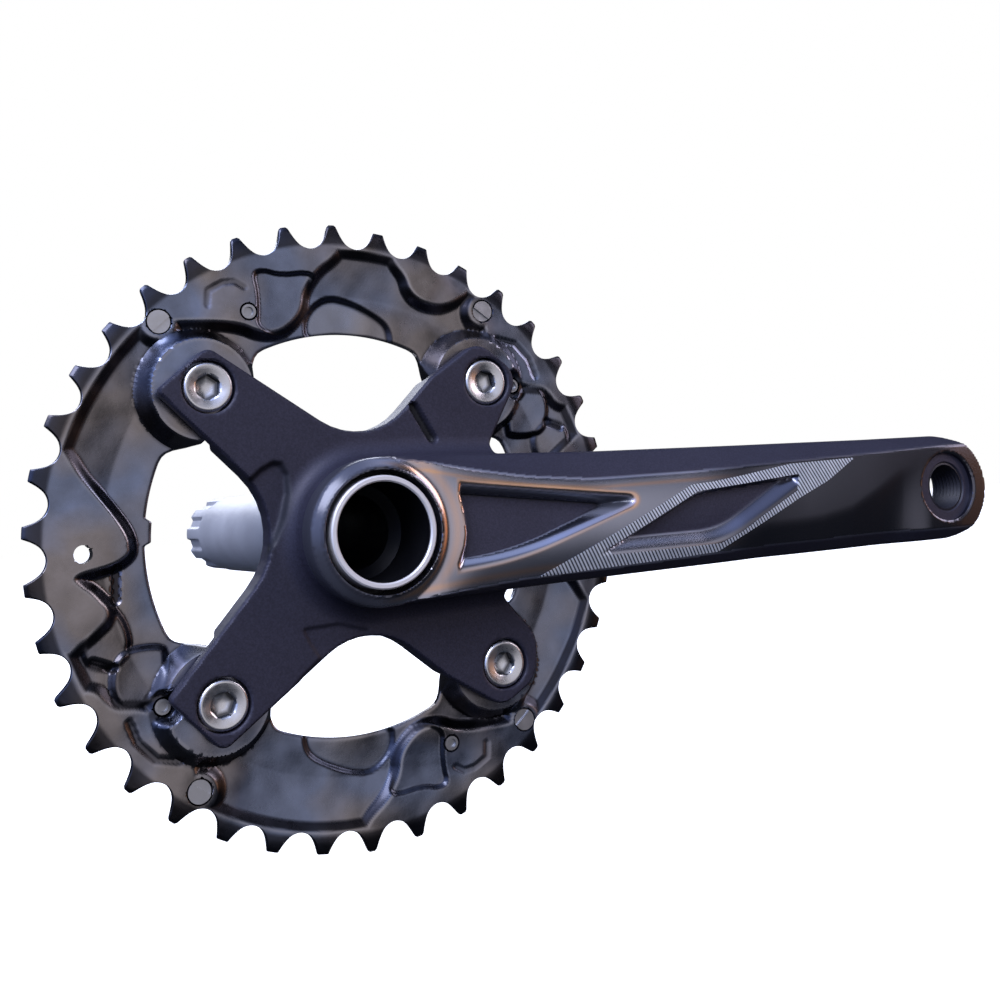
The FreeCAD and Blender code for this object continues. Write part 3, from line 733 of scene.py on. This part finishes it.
spiderOutline = roundOutline([
    (-48.9, 36.1, 1.5), (-36.7, 46.3, 3), (2.3, 19.8, 17.7), (20.5, 38.0, 10),
    (35.0, 47.6, 6), (47.0, 38.4, 6), (36.4, 20.3, 2), (36.4, 12, 0),
    (37.6, -12, 0), (37.6, -19.6, 2), (46.8, -30.5, 7), (45.8, -41.5, 7),
    (35.5, -47.6, 6), (20.5, -38.0, 10), (0.2, -20.7, 17.2), (-37.5, -47.4, 3),
    (-49.2, -34.2, 1.5), (-16.3, 2.4, 19.7)], 9)
boltAngles = (45, 135, 225, 315)
spider = {"front": 63.2, "rear": 54.6, "tabRear": 58.2, "fillet": 5.2, "edge": 0.7, "backEdge": 1.8,
          "sinkRadius": 6.4, "boltCircle": 52.0, "slotDepth": 1.8}
# sunk fields in the spider's face: outline, depth and width of the wall
sunkFields = (
    ([(-29.4, 14.2), (-25.7, 17.3), (-22.3, 19.0), (-19.8, 18.5), (-18.3, 15.4), (-18.3, 10.5),
      (-19.9, 4.6), (-22.3, -1.0), (-25.5, -5.0), (-36.0, -3.0), (-36.0, 12.0)], 1.3, 1.5),
    ([(-17.4, -21.9), (-16.5, -21.3), (-8.1, -21.0), (-0.3, -23.4), (0, -34.0), (-20, -34.0),
      (-13.8, -28.9), (-16.1, -25.1)], 0.45, 0.9),
)
slotLine = [(15.4, 30.6), (20.0, 22.4)]


def spiderTrim(x, z):
    # The outline less the hub's mouth and the four bolt holes.
    d = np.maximum(outlineDistance(spiderOutline, x, z), arm["hubMouth"] + 0.4 - np.hypot(x, z))
    return np.maximum(d, spider["sinkRadius"] - awayFrom(spider["boltCircle"], boltAngles, x, z))


def spiderFront(x, z):
    # A flat face with a fillet up to the arm, less the sunk fields and the slot.
    r = spider["fillet"]
    d = np.clip(bodyDistance(x, z), 0, r)
    height = spider["front"] + r - np.sqrt(np.maximum(r * r - (r - d) ** 2, 0))
    for outline, depth, wall in sunkFields:
        height = height - depth * (1 - smoothStep(-wall, 0, outlineDistance(outline, x, z)))
    height = height - spider["slotDepth"] * (1 - smoothStep(0.7, 1.5, pathDistance(slotLine, x, z)))
    height = height - edgeRound(-outlineDistance(spiderOutline, x, z), spider["edge"])
    fromBolt = awayFrom(spider["boltCircle"], boltAngles, x, z)
    return height - edgeRound(fromBolt - spider["sinkRadius"], 0.35)


def spiderBack(x, z):
    # Flat, with the four tabs set forward to sit on the ring.
    radius = np.hypot(x, z)
    height = spider["rear"] + (spider["tabRear"] - spider["rear"]) * smoothStep(41.5, 43.5, radius)
    return height + edgeRound(-outlineDistance(spiderOutline, x, z), spider["backEdge"])


def makeSpider(material):
    lines = mergeLines((-50.2, 49.2, 0.42),)
    points, faces = trimmedSheet(lines, lines, spiderTrim, spiderFront, spiderBack, 4,
                                 creases=(bodyDistance,))
    # the slot and the walls of the sunk fields are darkened as painted shade
    x, out, z = points.T
    shade = 1 - smoothStep(0.8, 1.3, pathDistance(slotLine, x, z))
    for (outline, depth, wall), strength in zip(sunkFields, (0.85, 0.5)):
        edge = outlineDistance(outline, x, z)
        shade = np.maximum(shade, strength * np.exp(-((edge / wall + 0.45) / 0.5) ** 2))
    shade = shade * (out > 60)
    zero = np.zeros(len(points))
    return newPiece("spider", points, faces, "crank_arm", material,
                    {"gloss": zero, "fade": zero, "paintedWarmHighlight": zero, "shade": shade})


# The band is a thin foil on the arm's face. Its stripes lean, and repeat every two half steps.
hatch = {"lean": 0.55, "halfStep": 0.525, "lift": 0.07, "sink": 0.25}
bandOuter = [(41, -14.6), (62, -5.7), (88, 6.0), (95, 6.4), (105, 7.6), (120, 9.8), (142, 10.4),
             (132, 4.4), (122, 0.2), (110, -5.5), (100, -10.2), (95, -12.6), (85, -13.1)]
bandInner = [(61.5, -8.7), (89.5, 4.1), (105, 5.3), (122.6, 6.9), (121.4, 2.2), (110, -3.6),
             (103, -7.6), (96, -10.4), (62.5, -10.7)]


def hatchedFoil():
    # Printed foil mark: slanted silver stripes on black, each 0.6 mm wide on a 1.05 mm step.
    material, tree, shader, place = newMaterial("hatchedSilverFoil", Metallic=0.45)
    apart = addNode(tree, "SeparateXYZ", {"Vector": place})
    lean = addNode(tree, "Math", {0: apart.outputs["Z"], 1: hatch["lean"], 2: apart.outputs["X"]},
                   operation="MULTIPLY_ADD")
    count = addNode(tree, "Math", {0: lean, 1: 1000 / hatch["halfStep"]}, operation="MULTIPLY")
    wave = addNode(tree, "Math", {0: count, 1: 1.0}, operation="PINGPONG")
    stripe = addNode(tree, "MapRange", {"Value": wave, "From Min": 0.34, "From Max": 0.5},
                     interpolation_type="SMOOTHSTEP")
    worn = addNode(tree, "TexNoise", {"Vector": place, "Scale": perMillimetre(3), "Detail": 4.0})
    silver = addNode(tree, "Mix", {"Factor": worn, "A": linear("#bcc3ca"), "B": linear("#eef1f4")},
                     data_type="RGBA")
    colour = addNode(tree, "Mix", {"Factor": stripe, "A": linear("#3b3e46"), "B": silver},
                     data_type="RGBA")
    rough = addNode(tree, "MapRange", {"Value": worn, "To Min": 0.3, "To Max": 0.5})
    bump = addNode(tree, "Bump", {"Height": stripe, "Distance": 0.00003, "Strength": 0.4})
    feed(shader, {"Base Color": colour, "Roughness": rough, "Normal": bump})
    return material


def bandTrim(x, z):
    # Between the outer and the inner outline.
    return np.maximum(outlineDistance(bandOuter, x, z), -outlineDistance(bandInner, x, z))


def makeBand(material):
    xLines, zLines = mergeLines((40, 143, 0.4),), mergeLines((-15.4, 11.2, 0.4),)
    points, faces = trimmedSheet(xLines, zLines, bandTrim,
                                 lambda x, z: armFront(x, z) + hatch["lift"],
                                 lambda x, z: armFront(x, z) - hatch["sink"], 0)
    return newPiece("hatchedBand", points, faces, "crank_arm", material)


blackFinish = blastedBlack()
makeArm(blackFinish)
makeSpider(blackFinish)
makeBand(hatchedFoil())


ring = {
    "teeth": 38, "perTooth": 28, "short": 78.0, "phase": 0.5, "straight": 71.6,
    # half of a tooth gap: radius, then half of its width
    "halfGap": ((72.85, 0), (72.95, 0.9), (73.25, 1.7), (73.7, 2.45), (74.3, 3.1), (75.1, 3.7),
                (76.0, 4.2), (77.0, 4.65), (78.0, 5.05), (78.6, 5.35), (78.9, 5.75)),
    # heights are over the toothed plate's middle plane; a line is (radius, height)
    "plane": 54.0, "band": 1.0, "wall": 2.7,
    "floorLine": ((0, -1.5), (60.3, -1.5), (71.0, 0.1), (73.0, 0.1)),
    "rearLine": ((0, -3.3), (64.3, -3.3), (71.0, -1.0), (76.0, -1.0), (79.0, -0.5)),
    "inner": 50.8, "bandFoot": 72.3, "lobeEnd": 73.5,
    "seatTop": 4.15, "seatRadius": 12.2, "seatFoot": 15.2, "boltDip": 5.2,
    "pinCircle": 70.3, "pinBoss": 4.4, "pinDip": 3.15,
    "rivetCircle": 60.9, "rivetBoss": 3.0, "rivetDip": 2.3,
    "holeCircle": 65.0, "holeRadius": 2.1, "dipDepth": 1.6,
}
# stretches of shorter teeth, from and to in degrees
shortRuns = ((-47.4, 18.9), (56.8, 85.3), (132.6, 198.9), (236.8, 265.3))
pinAngles = (54, 130.6, 234, 310.6)
rivetAngles = (36.6, 113, 216.6, 293)
holeAngles = (0, 180)
# edges of the raised lobes as (degrees, radius); each is shown again half a turn on
lobes = [
    [(89, 73.5), (90, 71.0), (94.8, 67.0), (98.2, 62.6), (99.6, 57.8), (103.0, 54.9), (107.6, 53.4),
     (112.8, 55.2), (115.6, 58.4), (120, 61.7), (126.4, 66.4), (131, 70), (133, 73.5)],
    [(160, 73.5), (161.4, 71.2), (165, 66.8), (168, 62.4), (171.6, 58.4), (175.8, 55.2),
     (178.8, 54.4), (181.2, 54.7), (183.3, 58.6), (184.0, 67.5), (186.0, 66.0), (188.0, 63.6),
     (192, 61.1), (194.3, 62.1), (195.7, 65.4), (197, 69.4), (198.4, 73.5)],
    [(204.0, 73.5), (206.1, 70.2), (209.6, 69.5), (211.5, 68.2), (214.1, 64.2), (218.7, 61.8),
     (224, 61.4), (228.0, 63.0), (230.2, 65.8), (233.5, 69.0), (236, 73.5)],
]
# a single shallow scallop in the toothed band
scallop = [(58.5, 73.5), (60, 70), (61.8, 66.6), (64.8, 64.2), (69, 63.6), (72.2, 65.2),
           (74, 68.6), (76.6, 70.8), (78.4, 73.5)]


def polarOutline(points, turn=0):
    # Corners given as (degrees, radius) become a closed line with soft corners. One that ends
    # on the toothed band is closed along an arc.
    if points[-1][1] == ring["lobeEnd"]:
        back = np.arange(points[-1][0] - 4, points[0][0] + 2, -4)
        points = points + [(degrees, 75.0) for degrees in back]
    angle = np.radians(np.array([p[0] for p in points], float) + turn)
    radius = np.array([p[1] for p in points], float)
    line = np.column_stack([radius * np.cos(angle), radius * np.sin(angle)])
    # two rounds of cutting each corner
    for _ in range(2):
        after = np.roll(line, -1, axis=0)
        line = np.stack([0.75 * line + 0.25 * after, 0.25 * line + 0.75 * after], 1).reshape(-1, 2)
    return line


lobeLines = [polarOutline(points, turn) for points in lobes for turn in (0, 180)]
lobeLines.append(polarOutline(scallop))


def toothOutline():
    # Half of one tooth gap, as radius and half width, resampled evenly, mirrored and repeated.
    shape = np.array(ring["halfGap"])
    fine = np.linspace(0, len(shape) - 1, 200)
    radius = np.interp(fine, np.arange(len(shape)), shape[:, 0])
    across = np.interp(fine, np.arange(len(shape)), shape[:, 1])
    angle = np.arcsin(across / radius)
    half = np.column_stack([radius * np.cos(angle), radius * np.sin(angle)])
    tip = np.linspace(angle[-1], math.pi / ring["teeth"], 12)[1:]
    half = np.vstack([half, np.column_stack([radius[-1] * np.cos(tip), radius[-1] * np.sin(tip)])])
    run = np.concatenate([[0], np.cumsum(np.hypot(*np.diff(half, axis=0).T))])
    want = np.linspace(0, run[-1], ring["perTooth"] // 2 + 1)
    half = np.column_stack([np.interp(want, run, half[:, 0]), np.interp(want, run, half[:, 1])])
    angle = np.degrees(np.arctan2(half[:, 1], half[:, 0]))
    radius = np.hypot(half[:, 0], half[:, 1])
    angle = np.concatenate([-angle[:0:-1], angle[:-1]])
    radius = np.concatenate([radius[:0:-1], radius[:-1]])
    turns = np.arange(ring["teeth"]) * 360 / ring["teeth"] + ring["phase"]
    angle = (angle[None, :] + turns[:, None]).ravel()
    radius = np.tile(radius, ring["teeth"])
    wrapped = (angle + 60) % 360 - 60
    short = np.zeros(len(angle), bool)
    for first, last in shortRuns:
        short |= (wrapped > first) & (wrapped < last)
    return angle, np.where(short, np.minimum(radius, ring["short"]), radius)


def innerRadius(degrees):
    # The inner edge, curved in under each bolt seat and at one small index tab.
    away = np.min([np.abs((degrees - centre + 180) % 360 - 180) for centre in boltAngles], axis=0)
    radius = np.interp(away, [10.5, 12.6, 15, 17.4, 18.8, 20.2, 22],
                       [44.2, 44.4, 46.4, 48.9, 50.0, 50.6, ring["inner"]])
    tab = smoothStep(171.8, 173, degrees) * (1 - smoothStep(178.2, 179.4, degrees))
    return radius - 1.5 * tab


# areas raised or sunk within the ring, each shown twice: corners, rise, width of its wall, and
# whether it lies on a lobe or on the floor
ringSteps = (
    # lower plate of the rivet lobe
    ([(95, 66.8), (103.2, 67.2), (106.2, 69.4), (108.6, 69.4), (109, 65.2), (110.4, 60.8),
      (112.6, 56.5), (108, 52.5), (103, 53.5), (98.4, 57), (97, 62.4)], -0.9, 1.1, "lobe"),
    # pocket on the inner edge
    ([(100, 49), (99, 56), (93, 60.4), (86.4, 59.4), (78, 56.4), (74.4, 54), (72.6, 49)],
     -0.9, 1.6, "floor"),
    # plates beside the lowest lobe
    ([(190.5, 62), (192.2, 59.8), (197, 58.4), (201.8, 59.4), (203, 62), (204, 66), (200, 70.5),
      (195.5, 68), (192, 64)], 1.0, 1.8, "floor"),
    ([(201.9, 60.4), (205.0, 53.2), (207.4, 53.2), (212.0, 56.4), (214.6, 62.4), (211.9, 67.9),
      (207.5, 67.9), (203.2, 64.4)], 1.6, 1.7, "floor"),
)
# narrow grooves: their course, half width and depth
ringGrooves = (
    ([(183.8, 57.6), (191.0, 58.9)], 1.25, 0.7),
    ([(201.0, 68.2), (203.8, 65.0)], 1.3, 0.8),
    ([(214.4, 68.5), (218.7, 70.1), (223.4, 69.8), (227.5, 66.8)], 1.0, 0.4),
    ([(111.6, 66.8), (113.0, 69.0), (115.2, 69.8), (118.8, 69.8), (120.6, 66.8)], 0.9, 0.22),
)


def ringHeight(radius, degrees):
    # Height over the ring's own plane: a flat annulus, a gentle cone up to the toothed band,
    # and lobes, bosses and bolt seats that stand up from it with sloping walls. Also gives how
    # much painted highlight each point carries and how far it is darkened: painted shade on walls,
    # grooves and seats, and darker teeth.
    x, z = onRing(radius, degrees)
    low = np.interp(radius, *zip(*ring["floorLine"]))
    # d is the distance to the nearest raised part
    d = ring["bandFoot"] - radius
    for line in lobeLines:
        middle = np.degrees(math.atan2(line[:, 1].mean(), line[:, 0].mean()))
        near = (np.abs((degrees - middle + 180) % 360 - 180) < 30) & (radius < 74)
        d[near] = np.minimum(d[near], outlineDistance(line, x[near], z[near]))
    fromRivet = awayFrom(ring["rivetCircle"], rivetAngles, x, z)
    d = np.minimum(d, awayFrom(ring["pinCircle"], pinAngles, x, z) - ring["pinBoss"])
    d = np.minimum(d, fromRivet - ring["rivetBoss"])
    wall = ring["wall"]
    t = np.clip((d + 0.6) / wall, 0, 1)
    height = low + (ring["band"] - low) * (1 - 0.6 * t - 0.4 * t * t * (3 - 2 * t))
    # painted highlight along the top edges of the raised walls
    paintedHighlight = 0.4 * np.exp(-((d + 0.6) / 0.35) ** 2)
    # painted shade on the raised walls
    shadeAndDarkTeeth = 0.9 * smoothStep(-0.35, 0.1, d) * (1 - smoothStep(wall - 0.9, wall - 0.5, d))
    for corners, rise, width, where in ringSteps:
        for turn in (0, 180):
            edge = outlineDistance(polarOutline(corners, turn), x, z)
            here = 1 - t if where == "lobe" else t
            inside = (1 - smoothStep(-0.5 * width, 0.5 * width, edge)) * here
            height = height + rise * inside
            slope = smoothStep(-0.8, -0.4, edge / width) * (1 - smoothStep(0.4, 0.7, edge / width))
            # painted shade on the steps' slopes
            shadeAndDarkTeeth = np.maximum(shadeAndDarkTeeth, 0.8 * slope * here)
            # sunk floors get a painted highlight
            if rise < 0 and where == "floor":
                paintedHighlight = np.maximum(paintedHighlight, 0.3 * smoothStep(-0.5, -1.0, edge / width) * here)
    for course, half, deep in ringGrooves:
        for turn in (0, 180):
            away = pathDistance([onRing(r, a + turn) for a, r in course], x, z)
            inside = 1 - smoothStep(0.5 * half, half, away)
            height = height - deep * inside
            # grooves are darkened as painted shade
            shadeAndDarkTeeth = np.maximum(shadeAndDarkTeeth, min(0.9, 1.6 * deep) * inside)
    # bolt seats, which make way for the rivets beside them
    away = awayFrom(spider["boltCircle"], boltAngles, x, z)
    slope = np.clip((ring["seatFoot"] - away) / (ring["seatFoot"] - ring["seatRadius"]), 0, 1)
    slope = slope * smoothStep(2.6, 4.4, fromRivet)
    height = height + (ring["seatTop"] - height) * (0.8 * slope + 0.2 * slope * slope)
    # painted shade on the seat walls and round the rivet beside each seat, and a painted highlight on the
    # seat's top edge
    onSeat = smoothStep(ring["seatFoot"] + 0.8, ring["seatFoot"] - 0.2, away)
    seatWall = 0.68 * smoothStep(ring["seatRadius"] - 0.2, ring["seatRadius"] + 0.5, away)
    shadeAndDarkTeeth = shadeAndDarkTeeth + (seatWall - shadeAndDarkTeeth) * onSeat
    shadeAndDarkTeeth = np.maximum(shadeAndDarkTeeth, 0.8 * onSeat * (1 - smoothStep(3.6, 4.6, fromRivet)))
    seatHighlight = 0.35 * np.exp(-((away - ring["seatRadius"] + 0.25) / 0.35) ** 2)
    paintedHighlight = paintedHighlight + (seatHighlight - paintedHighlight) * onSeat
    # teeth thin towards their tips and are darker
    height = height - 0.55 * smoothStep(74.6, 79, radius)
    shadeAndDarkTeeth = np.maximum(shadeAndDarkTeeth, 0.85 * smoothStep(73.2, 74.2, radius))
    return height, paintedHighlight, shadeAndDarkTeeth


def ringGrid():
    # Points of the ring as seen from the front: rows run round it and columns outwards, straight
    # to radius "straight" and from there in straight lines to the teeth. Points beside a circle,
    # such as a bolt seat's top and foot, a hole or a dip, move onto it. Also says which points
    # are in a hole, and which are in a dip that a fastener stands in.
    edgeAngle, edgeRadius = toothOutline()
    evenAngle = edgeAngle[0] + np.arange(len(edgeAngle)) * 360 / len(edgeAngle)
    inner = innerRadius(evenAngle % 360)
    innerRows, outerRows = np.linspace(0, 1, 50), np.linspace(0, 1, 15)[1:]
    plain = inner[None, :] + (ring["straight"] - inner)[None, :] * innerRows[:, None]
    x, z = onRing(plain, evenAngle[None, :] * np.ones_like(plain))
    endX, endZ = onRing(edgeRadius, edgeAngle)
    x = np.vstack([x, x[-1] + (endX - x[-1]) * outerRows[:, None]])
    z = np.vstack([z, z[-1] + (endZ - z[-1]) * outerRows[:, None]])
    rows = np.arange(len(x))[:, None]
    seats = [(spider["boltCircle"], a, ring[size]) for a in boltAngles
             for size in ("seatRadius", "seatFoot")]
    holes = [(ring["holeCircle"], a, ring["holeRadius"]) for a in holeAngles]
    dips = [(ring["pinCircle"], a, ring["pinDip"]) for a in pinAngles]
    dips += [(ring["rivetCircle"], a, ring["rivetDip"]) for a in rivetAngles]
    dips += [(spider["boltCircle"], a, ring["boltDip"]) for a in boltAngles]
    inHole, inDip = np.zeros(x.shape, bool), np.zeros(x.shape, bool)
    for circle in seats + holes + dips:
        r, a, size = circle
        cx, cz = onRing(r, a)
        away = np.maximum(np.hypot(x - cx, z - cz), 0.01)
        if circle in seats:
            snap = (np.abs(away - size) < 0.23) & (np.hypot(x, z) < 71) & (rows > 1)
        else:
            snap = np.abs(away - size) < 0.24
        x = np.where(snap, cx + (x - cx) * size / away, x)
        z = np.where(snap, cz + (z - cz) * size / away, z)
        if circle in holes:
            inHole |= (away < size) & ~snap
        elif circle in dips:
            inDip |= (away < size) & ~snap
    return x, z, inHole, inDip


def makeRing(material):
    x, z, inHole, inDip = ringGrid()
    rows, count = x.shape
    radius, degrees = np.hypot(x, z), np.degrees(np.arctan2(z, x)) % 360
    height, paintedHighlight, shadeAndDarkTeeth = ringHeight(radius, degrees)
    # both faces fall a little to the ring's inner and outer edges
    edgeDrop = np.zeros((rows, 1))
    edgeDrop[[0, 1, -2, -1], 0] = 0.25, 0.05, 0.08, 0.35
    front = ring["plane"] + height - ring["dipDepth"] * inDip - edgeDrop
    rear = ring["plane"] + np.interp(radius, *zip(*ring["rearLine"])) + edgeDrop
    # the dips round the fasteners are darkened fully as painted shade
    shadeAndDarkTeeth = np.where(inDip, 1.0, shadeAndDarkTeeth)
    index = np.arange(x.size).reshape(x.shape)
    beside = np.roll(index, -1, axis=1)
    corners = np.stack([index[:-1], index[1:], beside[1:], beside[:-1]], -1)
    quads = corners[~inHole.ravel()[corners].any(-1)]
    # the back keeps every row near the two holes and every fifth elsewhere
    middle = radius.mean(1)
    keep = [n for n in range(rows) if n % 5 == 0 or n == rows - 1 or 62.0 < middle[n] < 68.0]
    backIndex, backBeside = index[keep], beside[keep]
    corners = np.stack([backIndex[:-1], backBeside[:-1], backBeside[1:], backIndex[1:]], -1)
    total = x.size
    backQuads = corners[~inHole.ravel()[corners].any(-1)] + total
    points = np.vstack([np.column_stack([x.ravel(), out.ravel(), z.ravel()]) for out in (front, rear)])
    # walls round the teeth and round the inner edge
    walls = [np.column_stack([index[-1], index[-1] + total, beside[-1] + total, beside[-1]]),
             np.column_stack([index[0], beside[0], beside[0] + total, index[0] + total])]
    # walls of the two holes, along edges that only one kept cell uses
    sides = np.vstack([quads[:, [i, (i + 1) % 4]] for i in range(4)])
    key = np.sort(sides, 1)[:, 0].astype(np.int64) * total + np.sort(sides, 1)[:, 1]
    _, first, times = np.unique(key, return_index=True, return_counts=True)
    free = sides[first[times == 1]]
    row = free // count
    free = free[~((row == 0).all(1) | (row == rows - 1).all(1))]
    walls.append(np.column_stack([free[:, 1], free[:, 0], free[:, 0] + total, free[:, 1] + total]))
    faces = np.vstack([quads, backQuads] + walls)
    used = np.unique(faces)
    new = np.full(len(points), -1)
    new[used] = np.arange(len(used))
    paintedHighlight = np.concatenate([paintedHighlight.ravel(), np.zeros(total)])[used]
    # the whole back is darkened by 0.6
    shade = np.concatenate([shadeAndDarkTeeth.ravel(), 0.6 * np.ones(total)])[used]
    return newPiece("largeChainring", points[used], new[faces].tolist(),
                    "large_chainring", material, {"paintedHighlight": paintedHighlight, "shade": shade}, 40)


makeRing(blackRing())


spindle = {"bore": 9.5, "journal": 12.0, "head": 13.5, "mouth": 12.0, "front": 76.3, "step": 58.0,
           "left": -67.5, "splines": 10, "splineDepth": 1.1, "splineEnd": -50.5, "hubRear": 45.5}


def steelTube():
    # Steel tube, turned and bead blasted to a soft satin grey, its bore painted near black as
    # shade and its front lip bare and bright.
    material, tree, shader, place = newMaterial("satinSteelTube")
    bore, lip = [addNode(tree, "Attribute", attribute_name=label).outputs["Fac"]
                 for label in ("bore", "lip")]
    cloud = addNode(tree, "TexNoise", {"Vector": place, "Scale": perMillimetre(9), "Detail": 4.0})
    fine = addNode(tree, "TexNoise", {"Vector": place, "Scale": perMillimetre(0.35), "Detail": 2.0})
    satin = addNode(tree, "Mix", {"Factor": cloud, "A": linear("#c4c4c6"), "B": linear("#dadadb")},
                    data_type="RGBA")
    bare = addNode(tree, "Mix", {"Factor": lip, "A": satin, "B": linear("#f0ece8")}, data_type="RGBA")
    # Painted shade: the bore goes near black and loses its metal.
    colour = addNode(tree, "Mix", {"Factor": bore, "A": bare, "B": linear("#0c0c10")}, data_type="RGBA")
    rough = addNode(tree, "MapRange", {"Value": cloud, "From Min": 0.3, "From Max": 0.7,
                                       "To Min": 0.36, "To Max": 0.48})
    metal = addNode(tree, "Mix", {"Factor": bore, "A": 0.35, "B": 0.0})
    bump = addNode(tree, "Bump", {"Height": fine, "Distance": 0.00005, "Strength": 0.3})
    feed(shader, {"Base Color": colour, "Roughness": rough, "Metallic": metal, "Normal": bump})
    return material


def makeSpindle(material):
    # A turned tube whose far end is splined.
    s, steps = spindle, 240
    profile = [(s["mouth"] + 0.35, s["front"]), (s["head"] - 0.35, s["front"]),
               (s["head"], s["front"] - 0.35), (s["head"], 60), (s["head"], s["hubRear"]),
               (s["journal"], s["hubRear"] - 0.1), (s["journal"], 20), (s["journal"], -10),
               (s["journal"], -36), (s["journal"], s["splineEnd"] + 3)]
    for out in np.linspace(s["splineEnd"], s["left"] + 1.2, 24):
        profile.append((s["journal"] - 0.2, out))
    profile += [(s["journal"] - 0.5, s["left"] + 0.5), (s["journal"] - 1.2, s["left"]),
                (s["bore"] + 0.5, s["left"]), (s["bore"], s["left"] + 0.6), (s["bore"], 0),
                (s["bore"], s["step"] - 2.5), (s["mouth"], s["step"]), (s["mouth"], s["front"] - 1.0),
                (s["mouth"], s["front"] - 0.35)]
    profile = np.array(profile)
    outs = profile[:, 1]
    inner = len(profile) - 6

    def splined(angle, row, radius):
        # splines stand between rounded grooves that run out towards the middle
        wave = 0.5 - 0.5 * np.cos(angle * s["splines"] + 0.6)
        groove = smoothStep(0.35, 0.8, wave)
        where = (radius > s["bore"] + 1) * (outs[row] < s["splineEnd"] + 0.1)
        share = smoothStep(s["splineEnd"], s["splineEnd"] - 3.5, outs[row])
        return radius - s["splineDepth"] * groove * where * share

    points, faces = turned(profile, steps, shape=splined)
    row = np.arange(len(points)) // steps
    out = points[:, 1]
    # the bore's rows carry painted shade
    bore = (row >= inner) & (row < len(profile) - 1)
    lip = (out > s["front"] - 1.0) & ~bore
    return newPiece("spindleTube", points, faces, "spindle", material,
                    {"bore": bore, "lip": lip})


makeSpindle(steelTube())


bolt = {"head": 5.9, "front": 62.75, "under": 60.4, "shank": 4.0, "end": 52.0, "key": 2.75,
        "floor": 59.6}


def makeBolt(number, degrees, material):
    # A turned head with a dished face and a hexagon socket whose floor is a drilled cone.
    head, front, under, shank = bolt["head"], bolt["front"], bolt["under"], bolt["shank"]
    key, floor, end = bolt["key"], bolt["floor"], bolt["end"]
    profile = [(0, floor - 0.7), (key * 0.6, floor - 0.2), (key * 0.86, floor), (key, floor + 0.1),
               (key, front - 1.1), (key, front - 0.75), (key + 0.35, front - 0.5),
               (key + 0.7, front - 0.4), (4.2, front - 0.22), (head - 0.9, front - 0.02),
               (head - 0.6, front), (head - 0.3, front - 0.12), (head, front - 0.5), (head, under),
               (shank, under), (shank, end + 0.6), (shank - 0.6, end), (0, end)]

    def hexagon(angle, row, radius):
        around = (angle + 0.3 * number) % (math.pi / 3) - math.pi / 6
        return np.where((row >= 2) & (row <= 5), radius / np.cos(around), radius)

    cx, cz = onRing(spider["boltCircle"], degrees)
    points, faces = turned(profile, 96, (cx, cz), shape=hexagon)
    radius = np.hypot(points[:, 0] - cx, points[:, 2] - cz)
    # painted shade in the socket's corners
    recessShade = (radius < key * 1.17) & (radius > key * 0.8) & (points[:, 1] < front - 0.7)
    return newPiece(f"ringBolt{number}", points, faces, f"chainring_bolt_{number}",
                    material, {"recessShade": 0.85 * recessShade})


boltFinish = brightSteel("platedSteelBolt", ("#e2e3e6", "#fbfbfb"), 0.28)
for number, degrees in enumerate(boltAngles, start=1):
    makeBolt(number, degrees, boltFinish)


# The nuts, pins and rivets keep their frame shapes: material, darker and lighter tone, roughness.
steels = {
    "chainring_nut": ("platedSteelNut", ("#8f9194", "#b0b2b5"), 0.3),
    "shift_pin": ("groundSteelPin", ("#bcbdc1", "#dadbdd"), 0.34),
    "ring_rivet": ("pressedSteelRivet", ("#a5a7ab", "#c9cacd"), 0.34),
}
for start, (name, tone, roughness) in steels.items():
    finish = brightSteel(name, tone, roughness)
    for nodeName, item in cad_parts.items():
        if nodeName.startswith(start):
            for entry in item.material_slots:
                entry.material = finish
print("steel parts finished")
